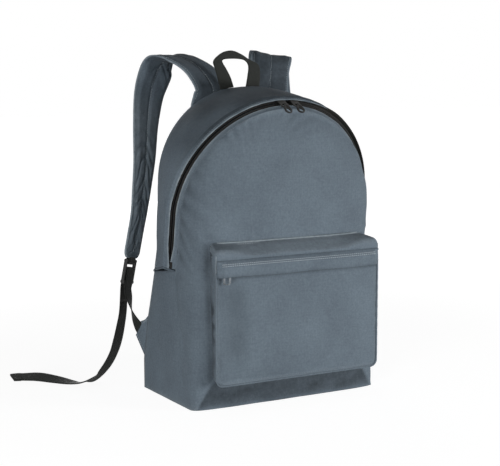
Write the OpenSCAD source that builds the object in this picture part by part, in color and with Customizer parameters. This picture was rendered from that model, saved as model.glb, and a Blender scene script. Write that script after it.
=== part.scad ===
// Classic day backpack standing on its base: round-topped zip panel, front pocket, two padded straps.
// The front faces -Y, +Z is up and the origin is the middle of the base on the floor. Sizes in mm.

/* [Body] */
// Width of the base from side to side
base_w = 290; // [286:1:294]
// Depth of the base from front to back
base_d = 156; // [153:1:159]
// Thickness of one layer of shell fabric
fabric = 1.5; // [1.2:0.1:1.8]
// How far the front panel swells forward at its middle
front_swell = 4; // [2:0.5:6]
// How far the top gusset swells outward between its two seams
gusset_swell = 5; // [3:0.5:7]
// Thickness of the foam inside the back
back_foam_t = 6; // [4:0.5:8]

/* [Main zip] */
// Radius of the zip arch in its own leaning plane
zip_r = 148.5; // [146:0.5:150]
// Backward lean of the zip plane in degrees
zip_lean = 16.2; // [15:0.1:17.5]
// Half of the full width of the closed zip
zip_half = 7.5; // [7:0.1:8]
// Gap between the two coil halves in which the slider post runs
coil_gap = 1.6; // [1.5:0.1:2]
// Length of a slider along the zip
slider_len = 13; // [11:0.5:14]
// Length of a main pull tab
main_pull_len = 15; // [12:0.5:15]

/* [Pocket] */
// Half of the width of the front pocket
pocket_half = 127; // [124:0.5:129]
// Height of the lower edge of the pocket above the floor
pocket_low = 36; // [34:0.5:40]
// How far the pocket face stands in front of the base edge
pocket_depth = 27; // [25:0.5:29]
// How far the pocket is drawn in at each side where it meets the front panel
pocket_tuck = 9; // [5:0.5:11]
// Height of the flap that covers the pocket zip
flap_h = 23; // [21:0.5:24]
// Length of the pocket pull tab
pocket_pull_len = 22; // [20:0.5:24]

/* [Straps] */
// Width of a shoulder strap at the top
strap_w = 64; // [60:1:66]
// Width of a shoulder strap at its buckle end
strap_end_w = 34; // [32:1:38]
// Thickness of the foam in a strap
strap_foam_t = 5; // [4:0.5:6]
// Width of the adjusting webbing
web_w = 20; // [18:0.5:21]
// Thickness of the webbing
web_t = 1.6; // [1.4:0.1:1.8]
// Width of the haul loop webbing
haul_w = 22; // [20:0.5:23]

/* [Hidden] */
seam = 0.4;
clear = 0.4;
half_w = base_w / 2;
half_d = base_d / 2;

// zip arch: top point, direction down its plane, forward normal and centre
zip_top = [0, -half_d + 10, 402];
zip_down = [0, sin(zip_lean), -cos(zip_lean)];
zip_front = [0, -cos(zip_lean), -sin(zip_lean)];
zip_mid = zip_top + zip_r * zip_down;
leg_len = 82;
leg_in = 5.5;
face_tilt = 40;
zip_end_z = (zip_mid + leg_len * zip_down)[2];
tape_t = 0.8;
coil_w = 1.7;
coil_h = 1.5;
slider_at = 3.7;

// back plane: leans forward by back_lean degrees about the rear edge of the base
back_lean = 2.445;
arch_r = 127;
arch_z = 294;
top_z = arch_z + arch_r;
back_seam_z = 167;
side_line = [[0, 145], [43, 146], [105, 140], [124, 137], [167, 131], [200, 127.5], [230, 127], [294, 127]];

function flat(rows) = [for (r = rows) each r];
function unit(v) = v / norm(v);
function mix(a, b, k) = a + (b - a) * k;
function ease(k) = k <= 0 ? 0 : k >= 1 ? 1 : k * k * (3 - 2 * k);
// point and slope of a smooth curve through the points p, u counts points from 0
function curve(p, u) = let (n = len(p) - 1, i = min(floor(u), n - 1), k = u - i,
    a = p[max(i - 1, 0)], b = p[i], c = p[i + 1], d = p[min(i + 2, n)])
    0.5 * (2 * b + (c - a) * k + (2 * a - 5 * b + 4 * c - d) * k * k + (3 * b - a - 3 * c + d) * k * k * k);

// closed solid from rings of equal count, each ring turning left about the way of travel;
// walls from number flip on are split along their other diagonal
module rings(r, flip = 1000) {
    n = len(r);
    k = len(r[0]);
    walls = [for (i = [0:n - 2], j = [0:k - 1]) let (m = (j + 1) % k)
        each j < flip
        ? [[i * k + j, (i + 1) * k + m, i * k + m], [i * k + j, (i + 1) * k + j, (i + 1) * k + m]]
        : [[i * k + j, (i + 1) * k + j, i * k + m], [i * k + m, (i + 1) * k + j, (i + 1) * k + m]]];
    caps = [[for (j = [0:k - 1]) j], [for (j = [k - 1:-1:0]) (n - 1) * k + j]];
    polyhedron(flat(r), concat(walls, caps), convexity = 8);
}

// outward unit normal of a grid of points g at row i, column j
function grid_normal(g, i, j) = let (n = len(g) - 1, m = len(g[0]) - 1)
    unit(cross(g[i][min(j + 1, m)] - g[i][max(j - 1, 0)], g[min(i + 1, n)][j] - g[max(i - 1, 0)][j]));

// closed sheet of thickness t behind the grid g; rows above step_row keep only the columns step_col inside
module sheet(g, t, step_row = -1, step_col = 0) {
    n = len(g) - 1;
    m = len(g[0]) - 1;
    w = m + 1;
    back = [for (i = [0:n]) [for (j = [0:m]) g[i][j] - t * grid_normal(g, i, j)]];
    total = (n + 1) * w;
    s = step_row < 0 ? n : step_row;
    c = step_row < 0 ? 0 : step_col;
    cells = [for (i = [0:n - 1], j = [0:m - 1]) if (i < s || (j >= c && j < m - c)) i * w + j];
    front_faces = [for (q = cells) each [[q, q + w + 1, q + 1], [q, q + w, q + w + 1]]];
    back_faces = [for (q = cells) each [[total + q, total + q + 1, total + q + w + 1],
        [total + q, total + q + w + 1, total + q + w]]];
    edge = [for (j = [0:m - 1]) j, for (i = [0:s - 1]) i * w + m,
        for (j = [0:1:c - 1]) s * w + m - j, for (i = [s:1:n - 1]) i * w + m - c,
        for (j = [m - c:-1:c + 1]) n * w + j, for (i = [n:-1:s + 1]) i * w + c,
        for (j = [c:-1:1]) s * w + j, for (i = [s:-1:1]) i * w];
    count = len(edge);
    edge_faces = [for (e = [0:count - 1]) let (a = edge[e], b = edge[(e + 1) % count])
        each [[a, total + b, total + a], [a, b, total + b]]];
    polyhedron(flat(concat(g, back)), concat(front_faces, back_faces, edge_faces), convexity = 8);
}

// zip line from the left end over the top to the right end, u from -1 to 1; legs beyond 0.75
function zip_turn(u) = 90 * min(abs(u) / 0.75, 1) * sign(u);
function zip_leg(u) = max(0, (abs(u) - 0.75) / 0.25);
function zip_out(u) = sin(zip_turn(u)) * [1, 0, 0] - cos(zip_turn(u)) * zip_down;
function zip_point(u) = zip_mid + zip_r * zip_out(u)
    + zip_leg(u) * (leg_len * zip_down - [sign(u) * leg_in, 0, 0]);
// point beside the zip: w towards the front panel, h outward from the tape
function beside_zip(u, w, h) = zip_point(u) + (h * cos(face_tilt) - w * sin(face_tilt)) * zip_out(u)
    + (w * cos(face_tilt) + h * sin(face_tilt)) * zip_front;
leg_steps = [0.83, 0.92, 1];
tape_end = 0.994;
zip_run = concat([for (k = [2:-1:0]) -leg_steps[k] * tape_end], [for (k = [-12:12]) k / 12 * 0.75],
    leg_steps * tape_end);
module along_zip(profile, run = zip_run) {
    n = len(profile) - 1;
    rings([for (u = run) [for (i = [n:-1:0]) beside_zip(u, profile[i][0], profile[i][1])]]);
}

// front panel: shoulder line on the right side at station v, 0 floor, 1 zip end, 2 leg top, 3 arch top
edge_w = zip_half + 0.8;
function shoulder(v) = v <= 1
    ? let (e = beside_zip(1, edge_w, 0.5)) mix([half_w, -half_d + 28, 0], e, v)
    : v <= 2 ? beside_zip(1 - 0.25 * (v - 1), edge_w, 0.5)
    : beside_zip(0.75 * (1 - (v - 2) * 0.965), edge_w, 0.5);
function front_mid(z) = -half_d - front_swell * sin(min(z / 300, 1) * 180)
    + (z > 280 ? 5 * (1 - cos((z - 280) / 120 * 90)) : 0);
function corner_power(z) = mix(7, 4.2, ease(z / 190)) - 0.8 * ease((z - 200) / 120);
// distance of the panel from its shoulder, as a share, at direction s across the front
function front_point(v, s) = let (p = shoulder(v), q = corner_power(p[2]), y0 = min(front_mid(p[2]),
    p[1] - 1),
    r = pow(pow(abs(cos(s)), q) + pow(abs(sin(s)), q), -1 / q))
    [-p[0] * r * cos(s), p[1] + (y0 - p[1]) * r * sin(s), p[2]];
function side_x(z) = lookup(z, side_line);
function back_y(z) = half_d - z * tan(back_lean);
rear_in = 1.5 + seam;
function side_point(v, k) = let (p = shoulder(v), z = v * back_seam_z,
    q = [side_x(z) * half_w / 145, back_y(z) - rear_in, z])
    mix(q, p, k) + [3 * sin(180 * k) * ease(v), 0, 0];
low_rows = [0, 0.06, 0.14, 0.26, 0.4, 0.55, 0.7, 0.85, 1];
high_rows = [1.33, 1.66, 2, 2.14, 2.28, 2.42, 2.56, 2.7, 2.8, 2.9, 3];
side_cols = [0, 0.2, 0.4, 0.6, 0.8];
front_cols = [for (k = [0:24]) k * 7.5];
function mirror_x(p) = [-p[0], p[1], p[2]];
// above the zip end the side columns are only carried on as spare points
function panel_row(v) = let (w = min(v, 1), spare = [0, 0, 9 * (v - w)])
    concat([for (k = side_cols) mirror_x(side_point(w, k)) + spare], [for (s = front_cols) front_point(v,
    s)],
        [for (k = [4:-1:0]) side_point(w, side_cols[k]) + spare]);
panel_grid = [for (v = concat(low_rows, high_rows)) panel_row(v)];
module front_panel()
    color("slategray") sheet(panel_grid, fabric, len(low_rows) - 1, len(side_cols));

// depth of the front panel surface at x, z
function find_shoulder(z, a = 0, b = 3, n = 18) = n == 0 ? (a + b) / 2
    : let (c = (a + b) / 2) shoulder(c)[2] < z ? find_shoulder(z, c, b, n - 1) : find_shoulder(z, a, c,
    n - 1);
function front_y(x, z) = let (p = shoulder(find_shoulder(z)), q = corner_power(z), y0 = front_mid(z))
    p[1] + (y0 - p[1]) * pow(max(0, 1 - pow(min(1, abs(x) / p[0]), q)), 1 / q);

// top gusset between the zip and the back panel, ending above the short side seams
function back_edge(u) = let (t = zip_turn(u), k = zip_leg(u),
    z = k > 0 ? mix(arch_z, back_seam_z + 1.2, k) : arch_z + arch_r * cos(t),
    x = k > 0 ? sign(u) * side_x(z) : arch_r * sin(t))
    [x, back_y(z) - rear_in, z];
gusset_run = concat([for (k = [2:-1:0]) -leg_steps[k]], [for (k = [-14:14]) k / 14 * 0.75], leg_steps);
function gusset_end(u) = abs(u) < 1 ? [0, 0, 0] : [0, 0, 1];
function gusset_point(u, k) = let (a = back_edge(u), b = beside_zip(u, -zip_half - 1.6,
    0.5) + gusset_end(u),
    o = unit([b[0], 0, b[2] - 250 > 0 ? b[2] - 250 : 0]))
    mix(a, b, k) + gusset_swell * sin(180 * k) * o;
gusset_cols = [0, 0.15, 0.3, 0.45, 0.6, 0.75, 0.88, 1];
gusset_grid = [for (k = gusset_cols) [for (u = gusset_run) gusset_point(u, k)]];
module top_gusset()
    color("dimgray") sheet([for (i = [len(gusset_cols) - 1:-1:0]) gusset_grid[i]], fabric);

// back: outline in its own plane, shrunk by d
back_up = 1 / cos(back_lean);
function back_outline(d) = concat(
    [for (p = side_line) [-(p[1] * (p[0] < 1 ? half_w / 145 : 1) - d), max(p[0], d) * back_up]],
    [for (t = [-80:10:80]) [(arch_r - d) * sin(t), (arch_z + (arch_r - d) * cos(t)) * back_up]],
    [for (i = [len(side_line) - 1:-1:0]) let (p = side_line[i])
        [p[1] * (p[0] < 1 ? half_w / 145 : 1) - d, max(p[0], d) * back_up]]);
// stands children up in the back plane, their bottom at depth y inside the outer face
module on_back(y)
    translate([0, half_d, 0]) rotate([back_lean, 0, 0]) translate([0, -y, 0]) rotate([90, 0, 0]) children();
module back_panel()
    color("slategray") on_back(0) linear_extrude(1.5) polygon(back_outline(0));
module back_foam()
    color("gainsboro") on_back(1.5 + seam) linear_extrude(back_foam_t) polygon(back_outline(7));
module back_lining()
    color("darkgray") on_back(1.5 + 2 * seam + back_foam_t) linear_extrude(1) polygon(back_outline(7));

// base: outline follows the lowest row of the front panel, shrunk by d
function base_outline(d) = concat([[-half_w + d, half_d - 0.1 - d]],
    [for (s = front_cols) let (p = front_point(0, s), k = 1 - d / half_w)
        [p[0] * k, max(p[1], -half_d + 28) + (p[1] < -half_d + 28 ? p[1] + half_d - 28 : 0) * (1 - d / 28)]],
    [[half_w - d, half_d - 0.1 - d]]);
base_t = 2;
board_in = 11;
module base_panel()
    color("dimgray") linear_extrude(base_t) polygon(base_outline(fabric + seam));
module base_board()
    color("black") translate([0, 0, base_t + seam]) linear_extrude(2.5) polygon(base_outline(board_in));

// folded lip of the gusset that half covers the zip
module zip_lip()
    color("lightslategray")
        along_zip([[-2.4, 3.75], [-2.4, 5.1], [-9.2, 3.8], [-10.6, 2.2], [-10.4, 0.9], [-9.1, 1.2]]);
module zip_tape(s)
    along_zip(s > 0 ? [[zip_half, 0], [coil_gap / 2, 0], [coil_gap / 2, -tape_t], [zip_half, -tape_t]]
        : [[-zip_half, -tape_t], [-coil_gap / 2, -tape_t], [-coil_gap / 2, 0], [-zip_half, 0]]);
module zip_coil(s) {
    a = s * coil_gap / 2;
    b = s * (coil_gap / 2 + coil_w);
    lo = 0.1;
    q = [[a, lo + 0.3], [a, lo + coil_h - 0.4], [(a + b) / 2, lo + coil_h], [b, lo + coil_h - 0.4], [b,
    lo + 0.3],
        [(a + b) / 2, lo]];
    along_zip(s > 0 ? [for (i = [5:-1:0]) q[i]] : q);
}
module zip_tape_front() color("black") zip_tape(1);
module zip_tape_rear() color("black") zip_tape(-1);
module zip_coil_front() color("black") zip_coil(1);
module zip_coil_rear() color("black") zip_coil(-1);

// places children on the zip at angle a from the top: x along the zip, y rearward, z outward
module on_zip(u) {
    o = zip_out(u);
    t = cross(o, zip_front);
    w = cos(face_tilt) * zip_front - sin(face_tilt) * o;
    h = cos(face_tilt) * o + sin(face_tilt) * zip_front;
    p = zip_point(u);
    multmatrix([[t[0], -w[0], h[0], p[0]], [t[1], -w[1], h[1], p[1]], [t[2], -w[2], h[2],
    p[2]]]) children();
}
// stop block that closes a zip end, astride the tape end
module zip_stop(s)
    color("black") along_zip([[4.5, 2], [4.5, 3.3], [-2, 3.3], [-2, 2]], s > 0 ? [0.965,
    0.993] : [-0.993, -0.965]);
module zip_stop_left() zip_stop(-1);
module zip_stop_right() zip_stop(1);

// slider: plates above the coil and below the tape, post in the coil gap, bar for the pull above
plate_t = 1;
plate_low = coil_h + 0.1 + clear;
bar_r = 0.6;
eye_in = bar_r + 0.3;
eye_out = eye_in + 0.6;
bar_h = plate_low + plate_t + eye_out + 0.3;
module slider_body(w, l) {
    translate([-l / 2, -w / 2, plate_low]) cube([l, w, plate_t]);
    translate([-l / 2, -w / 2, -tape_t - clear - plate_t]) cube([l, w, plate_t]);
    translate([-2, -0.4, -tape_t - clear - plate_t]) cube([4, 0.8,
    tape_t + clear + plate_low + 2 * plate_t]);
    for (x = [-4.6, 3.6]) translate([x, -0.7, plate_low]) cube([1, 1.4, bar_h - plate_low + bar_r]);
    translate([-4.6, 0, bar_h]) rotate([0, 90, 0]) cylinder(r = bar_r, h = 9.2, $fn = 24);
}
// pull: an eye round the bar and a tab with a slot and a rounded end, hanging along -y
pull_rim = 1.4;
module pull_tab(l, w, t) {
    difference() {
        union() {
            translate([-w / 2, 0, 0]) rotate([0, 90, 0]) cylinder(r = eye_out, h = w, $fn = 32);
            translate([-w / 2, -l + w / 2, -t / 2]) cube([w, l - w / 2 - eye_in - 0.2, t]);
            translate([0, -l + w / 2, -t / 2]) cylinder(r = w / 2, h = t, $fn = 32);
        }
        translate([-w, 0, 0]) rotate([0, 90, 0]) cylinder(r = eye_in, h = 2 * w, $fn = 32);
        translate([0, -l + w / 2, -t]) cylinder(r = w / 2 - pull_rim, h = 2 * t, $fn = 32);
        translate([pull_rim - w / 2, -l + w / 2, -t]) cube([w - 2 * pull_rim, l / 3, 2 * t]);
    }
}
slide_u = 0.75 * slider_at / 90;
module main_slider_left() color("black") on_zip(-slide_u) slider_body(6.2, slider_len);
module main_slider_right() color("black") on_zip(slide_u) slider_body(6.2, slider_len);
pull_turn = -28;
module main_pull(s) color("black") on_zip(s * slide_u)
    translate([0, 0, bar_h]) rotate([pull_turn, 0, 0]) pull_tab(main_pull_len, 6.6, 1.3);
module main_pull_left() main_pull(-1);
module main_pull_right() main_pull(1);

// pocket
face_y = -half_d - pocket_depth;
zip_z = 193;
face_top = zip_z - 5;
top_low = zip_z + 5;
flap_top = 203;
pocket_round = 10;
// outline of the pocket from its upper left corner round the bottom to the upper right, shrunk by d
function pocket_line(d) = let (a = pocket_half - d, b = pocket_low + d, r = pocket_round - d / 2)
    concat([for (z = [flap_top, 185, 150, 115, 80]) [-a, z]],
        [for (t = [0:22.5:90]) [-a + r - r * cos(t), b + r - r * sin(t)]],
        [for (x = [-80, -45, 0, 45, 80]) [x, b]],
        [for (t = [90:-22.5:0]) [a - r + r * cos(t), b + r - r * sin(t)]],
        [for (z = [80, 115, 150, 185, flap_top]) [a, z]]);
function crown(x, z) = 3 * max(0, 1 - pow(x / pocket_half, 2)) * sin(max(0, min(180,
    (z - pocket_low) / (face_top - pocket_low) * 180)));
function face_half(z) = let (r = pocket_round, h = z - pocket_low)
    pocket_half - fabric - seam - (h < r ? r - sqrt(max(0, r * r - (r - h) * (r - h))) : 0);
module pocket_face()
    color("slategray") sheet([for (z = [for (k = [0:12]) mix(pocket_low + 2.2, face_top - seam,
    pow(k / 12, 1.25))])
        [for (k = [-8:8]) let (x = face_half(z - 2) * k / 8) [x, face_y - crown(x, z), z]]], fabric);
// share of the pocket width at k, from 0 at the front panel to 1 at the face
function tuck(k) = 1 - (1 - k) * pocket_tuck / pocket_half;
// side profile of the pocket top from the panel seam to the face: share k and height
top_rise = 221;
top_line = [[0, top_rise], [0.35, top_rise - 1.5], [0.62, top_rise - 3], [0.87, flap_top + 13],
    [1, flap_top + 8]];
module pocket_gusset() {
    line = pocket_line(0);
    n = len(line) - 1;
    color("dimgray") sheet([for (q = top_line) [for (i = [0:n])
        let (k = q[0], x = line[i][0] * tuck(k), z = i == 0 || i == n ? q[1] - 0.6 : line[i][1])
        [x, mix(front_y(x, z) - seam - 0.2, face_y, k), z]]], fabric);
}
module pocket_top() {
    a = pocket_half - fabric - seam;
    low = [for (z = [top_low + seam, flap_top]) [for (j = [-8:8]) [a * j / 8, face_y, z]]];
    high = [for (i = [len(top_line) - 1:-1:0]) let (k = top_line[i][0], z = top_line[i][1])
        [for (j = [-8:8]) let (x = (a - pocket_tuck * (1 - k)) * j / 8)
            [x, mix(front_y(x, top_rise) - seam - 0.4, face_y, k), z]]];
    color("slategray") sheet(concat(low, high), fabric);
}
zip_y = face_y + fabric + 0.35;
pocket_run = pocket_half - 6;
module pocket_tape(s) translate([-pocket_run, zip_y, zip_z + (s > 0 ? coil_gap / 2 : -zip_half)])
    cube([2 * pocket_run, tape_t, zip_half - coil_gap / 2]);
module pocket_coil(s) translate([-pocket_run, zip_y - 0.1 - coil_h,
    zip_z + (s > 0 ? coil_gap / 2 : -coil_gap / 2 - coil_w)])
    cube([2 * pocket_run, coil_h, coil_w]);
module pocket_tape_low() color("black") pocket_tape(-1);
module pocket_tape_high() color("black") pocket_tape(1);
module pocket_coil_low() color("black") pocket_coil(-1);
module pocket_coil_high() color("black") pocket_coil(1);
pocket_slide_x = -pocket_half + 15;
module on_pocket_zip() translate([pocket_slide_x, zip_y, zip_z]) rotate([90, 0, 0]) children();
module pocket_slider() color("silver") on_pocket_zip() slider_body(7, 11);
module pocket_pull() color("silver") on_pocket_zip() translate([0, 0, bar_h])
    pull_tab(pocket_pull_len, 5.4, 1.1);
// flap hanging from a stitched line over the pocket zip
flap_y = zip_y - bar_h - eye_out - clear - 1.6;
flap_line = [[flap_top - flap_h, flap_y], [flap_top - 12, flap_y], [flap_top - 5, flap_y + 0.8],
    [flap_top - 0.5, face_y - 1.95]];
module pocket_flap()
    color("slategray") sheet([for (p = flap_line) [for (k = [-8:8]) [(pocket_half - 1) * k / 8, p[1],
    p[0]]]], 1.6);

// strips that follow a smooth curve: p points, w width directions, from point number a to b in n steps
function strip_frame(p, w, u) = let (e = 0.02, n = len(p) - 1, a = max(u - e, 0), b = min(u + e, n),
    t = unit(curve(p, b) - curve(p, a)), q = curve(w, u), x = unit(q - (q * t) * t))
    [curve(p, u), x, cross(t, x)];
// rings of a layer: h half width of the strap, in how far the layer stays inside it,
// low and high offsets as [edge, middle]
function layer_ring(f, h, in, low, high) = let (e = h - in, m = h / 2)
    [for (q = [[-e, low[0]], [-m, mix(low[0], low[1], 0.8)], [0, low[1]], [m, mix(low[0], low[1], 0.8)],
        [e, low[0]], [e, high[0]], [m, mix(high[0], high[1], 0.8)], [0, high[1]],
        [-m, mix(high[0], high[1], 0.8)], [-e, high[0]]])
        f[0] + q[0] * f[1] + q[1] * f[2]];
function web_ring(f, h, t) = [for (q = [[-h, -t / 2], [-h / 2, -t / 2], [h / 2, -t / 2], [h, -t / 2],
    [h, t / 2], [h / 2, t / 2], [-h / 2, t / 2], [-h, t / 2]]) f[0] + q[0] * f[1] + q[1] * f[2]];

// shoulder straps: middle line from the seam on the back over the fold down to the buckle
left_line = [[-42, 65.75, 391], [-39, 70.5, 419], [-52, 79, 443], [-68, 93, 457.5], [-84.5, 107, 462],
    [-95.5, 116, 454.5], [-104, 119, 437], [-113, 119.5, 410], [-119, 118, 368], [-122, 117, 320],
    [-127, 116, 281], [-133, 114, 244], [-140, 113, 212], [-147, 112, 180]];
left_width = [[1, 0, 0], [0.95, 0.28, 0.1], [0.88, 0.43, 0.12], [0.84, 0.5, 0.1], [0.87, 0.45, 0.06],
    [0.93, 0.32, 0.02], [0.95, 0.28, 0], [0.92, 0.36, 0], [0.88, 0.44, 0], [0.86, 0.48, 0],
    [0.84, 0.52, 0], [0.82, 0.57, 0], [0.82, 0.57, 0], [0.82, 0.57, 0]];
right_line = [[50, 65.75, 391], [54.5, 70.5, 417], [61, 78, 442], [70, 91, 459.5], [78, 105, 464],
    [82, 115, 454.5], [84, 118.5, 432], [89, 119.5, 398], [97, 118, 361], [105, 117, 318],
    [113, 116, 280], [122, 114, 244], [132, 113, 212], [141, 112, 180]];
right_width = [[1, 0, 0], [1, 0, -0.08], [1, 0, -0.14], [1, -0.02, -0.16], [0.99, -0.06, -0.15],
    [0.97, -0.14, -0.12], [0.94, -0.24, -0.08], [0.9, -0.36, -0.04], [0.86, -0.46, 0], [0.84, -0.52, 0],
    [0.83, -0.56, 0], [0.82, -0.57, 0], [0.82, -0.57, 0], [0.82, -0.57, 0]];
function strap_half(u) = mix(strap_w, strap_end_w, ease((u - 5) / 7.5)) / 2;
skin = 1.2;
foam_mid = strap_foam_t / 2;
foam_edge = strap_foam_t / 5;
// all layers of a strap share one set of stations, of which a layer takes numbers a to b
strap_steps = 39;
module strap_layer(p, w, in, a, b, low, high)
    rings([for (k = [a:b]) let (u = 13 * k / strap_steps)
        layer_ring(strip_frame(p, w, u), strap_half(u), in, low, high)], 5);
module strap_face(p, w) color("slategray") strap_layer(p, w, 0, 0, strap_steps,
    [-foam_edge - seam - skin, -foam_mid - seam - skin], [-foam_edge - seam, -foam_mid - seam]);
module strap_lining(p, w) color("dimgray") strap_layer(p, w, 0, 0, strap_steps,
    [foam_edge + seam, foam_mid + seam], [foam_edge + seam + skin, foam_mid + seam + skin]);
module strap_foam(p, w) color("gainsboro") strap_layer(p, w, 3, 1, strap_steps - 2,
    [0.2 - foam_edge, 0.2 - foam_mid], [foam_edge - 0.2, foam_mid - 0.2]);
module strap_face_left() strap_face(left_line, left_width);
module strap_face_right() strap_face(right_line, right_width);
module strap_lining_left() strap_lining(left_line, left_width);
module strap_lining_right() strap_lining(right_line, right_width);
module strap_foam_left() strap_foam(left_line, left_width);
module strap_foam_right() strap_foam(right_line, right_width);

// buckle frame at the strap end: x across, y down the strap, z towards the pack
function end_frame(p, w) = let (f = strip_frame(p, w, 13)) [f[0], f[1], cross(f[1], f[2]), f[2]];
function in_frame(f, x, y, z) = f[0] + x * f[1] + y * f[2] + z * f[3];
left_end = end_frame(left_line, left_width);
right_end = end_frame(right_line, right_width);
module at_frame(f) multmatrix([for (i = [0:2]) [f[1][i], f[2][i], f[3][i], f[0][i]]]) children();
bar_y = 5.5;
mid_y = 20;
low_y = 33;
rail_in = web_w / 2 + 1.2;
loop_half = web_w / 2;
module buckle(f) color("black") at_frame(f) {
    for (s = [-1, 1]) translate([s * (rail_in + 1.5), 0, 0]) {
        translate([-1.5, 3.5, -2.2]) cube([3, 30, 4.4]);
        translate([-1.5, bar_y - 1.5, 0]) rotate([0, 90, 0]) cylinder(r = 2.6, h = 3, $fn = 32);
        translate([-1.5, low_y + 1, 0]) rotate([0, 90, 0]) cylinder(r = 3, h = 3, $fn = 32);
    }
    for (y = [bar_y, mid_y]) translate([-rail_in - 1, y, 0]) rotate([0, 90, 0])
        cylinder(r = 1.7, h = 2 * rail_in + 2, $fn = 32);
    translate([-rail_in - 1, low_y, -1.2]) cube([2 * rail_in + 2, 3.4, 2.4]);
}
module buckle_left() buckle(left_end);
module buckle_right() buckle(right_end);
// webbing loop sewn into the strap end and passed round the top bar of the buckle
wrap = 1.7 + 0.4 + web_t / 2;
leg_z = 0.2 + web_t / 2;
loop_line = [[-14, leg_z], [-3, leg_z], [0.5, 1.7], [3, 2.6], [bar_y + 0.2, wrap], [bar_y + wrap * 0.71,
    wrap * 0.71],
    [bar_y + wrap, 0], [bar_y + wrap * 0.71, -wrap * 0.71], [bar_y + 0.2, -wrap], [3, -2.6], [0.5, -1.7],
    [-3, -leg_z],
    [-14, -leg_z]];
function flat_rings(f, line, h) = let (n = len(line) - 1) [for (i = [0:n])
    let (d = unit(line[min(i + 1, n)] - line[max(i - 1, 0)]) * web_t / 2, q = line[i])
    [in_frame(f, -h, q[0] - d[1], q[1] + d[0]), in_frame(f, -h, q[0] + d[1], q[1] - d[0]),
        in_frame(f, h, q[0] + d[1], q[1] - d[0]), in_frame(f, h, q[0] - d[1], q[1] + d[0])]];
module buckle_loop_left() color("black") rings(flat_rings(left_end, loop_line, loop_half));
module buckle_loop_right() color("black") rings(flat_rings(right_end, loop_line, loop_half));

// lower webbing: from the wing up in front of the low bar and round the middle bar
turn_r = 1.7 + 0.7 + web_t / 2;
function turn_line(f) = [for (q = [[44, 3.3], [36, 3.3], [28, 3.3], [mid_y + 2.3, turn_r],
    [mid_y - 0.76 * turn_r, 0.76 * turn_r], [mid_y - turn_r, 0], [mid_y - 0.76 * turn_r, -0.76 * turn_r],
    [mid_y + 2.3, -turn_r]]) in_frame(f, 0, q[0], q[1])];
left_rise = [[-150.2, 90, 75], [-150.6, 94.5, 85], [-151, 99.5, 98], [-152, 104, 112], [-153.2, 107, 125]];
left_turn = [[-0.28, 0.92, 0.28], [-0.2, 0.94, 0.2], [0.2, 0.96, 0.1], [0.55, 0.8, 0], [0.75, 0.65, 0]];
right_rise = [[150.2, 90, 75], [150.3, 94.5, 85], [150, 99.5, 98], [149.8, 104, 112], [149.8, 107, 125]];
module lower_web(rise, turn, f) {
    p = concat(rise, turn_line(f));
    w = concat(turn, [for (i = [0:7]) f[1]]);
    n = len(p) - 1;
    color("black") rings([for (k = [0:45]) web_ring(strip_frame(p, w, k / 45 * n), web_w / 2, web_t)]);
}
module lower_web_left() lower_web(left_rise, left_turn, left_end);
module lower_web_right() lower_web(right_rise, [for (p = left_turn) [p[0], -p[1], -p[2]]], right_end);

// free tails: from behind the low bar to the floor
function tail_top(f) = [for (q = [[mid_y + 4.2, -3.3], [30, -3.3], [37, -3.3], [43, -3.2]])
    in_frame(f, 0, q[0], q[1])];
left_tail = [[-160.5, 112, 107], [-162.5, 116, 85], [-165, 122, 62], [-168, 129, 43], [-176, 135, 24],
    [-191, 135, 13.2], [-207, 127, 10.3], [-222, 126, 9.7], [-234, 134, 10.1], [-250, 152, 10.9],
    [-268, 171, 11.2], [-286, 187, 11.2], [-301, 187, 11.2]];
left_tail_w = [[0.8, 0.6, 0], [0.8, 0.6, 0], [0.8, 0.6, 0], [0.7, 0.6, 0.2], [0.5, 0.6, 0.5], [0.3, 0.6,
    0.75],
    [0, 0.8, 0.6], [-0.2, 0.85, 0.5], [-0.5, 0.75, 0.5], [-0.5, 0.5, 0.6], [-0.5, 0.4, 0.7], [-0.4, 0.5,
    0.7],
    [-0.2, 0.6, 0.7]];
right_tail = [[150, 110, 107], [148, 115, 85], [145, 122, 60], [140, 131, 38], [131, 140, 20],
    [117, 147, 9], [100, 150, 5], [82, 149, 4.6], [64, 147, 4.6], [48, 146, 4.6], [35, 146, 4.6]];
right_tail_w = [[0.82, -0.57, 0], [0.8, -0.6, 0], [0.75, -0.65, 0], [0.6, -0.75, 0], [0.4, -0.9, 0.1],
    [0.2, -0.95, 0.2], [0, -0.95, 0.3], [0, -0.95, 0.3], [0, -0.95, 0.3], [0, -0.95, 0.3], [0, -0.95, 0.3]];
module tail(line, w, f) {
    p = concat(tail_top(f), line);
    q = concat([for (i = [0:3]) f[1]], w);
    n = len(p) - 1;
    color("black") rings([for (k = [0:34]) web_ring(strip_frame(p, q, k / 34 * n), web_w / 2, web_t)]);
}
module tail_left() tail(left_tail, left_tail_w, left_end);
module tail_right() tail(right_tail, right_tail_w, right_end);

// wings: fabric tabs in the lower back seam that hold the lower webbing
wing_grid = [[[-149, 99, 68], [-143, back_y(43) + 0.5, 43]], [[-147.6, 99, 90], [-137, back_y(105) + 0.5,
    105]]];
module wing_left() color("slategray") sheet(wing_grid, 2.4);
module wing_right() color("slategray") sheet([for (r = wing_grid) [mirror_x(r[1]), mirror_x(r[0])]], 2.4);

// stitched strip that covers the strap ends on the back
anchor = [172, 20, 2];
anchor_z = top_z - 55;
module strap_anchor() color("black") on_back(-0.5 - anchor[2]) translate([-anchor[0] / 2, anchor_z, 0])
    cube(anchor);

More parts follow.
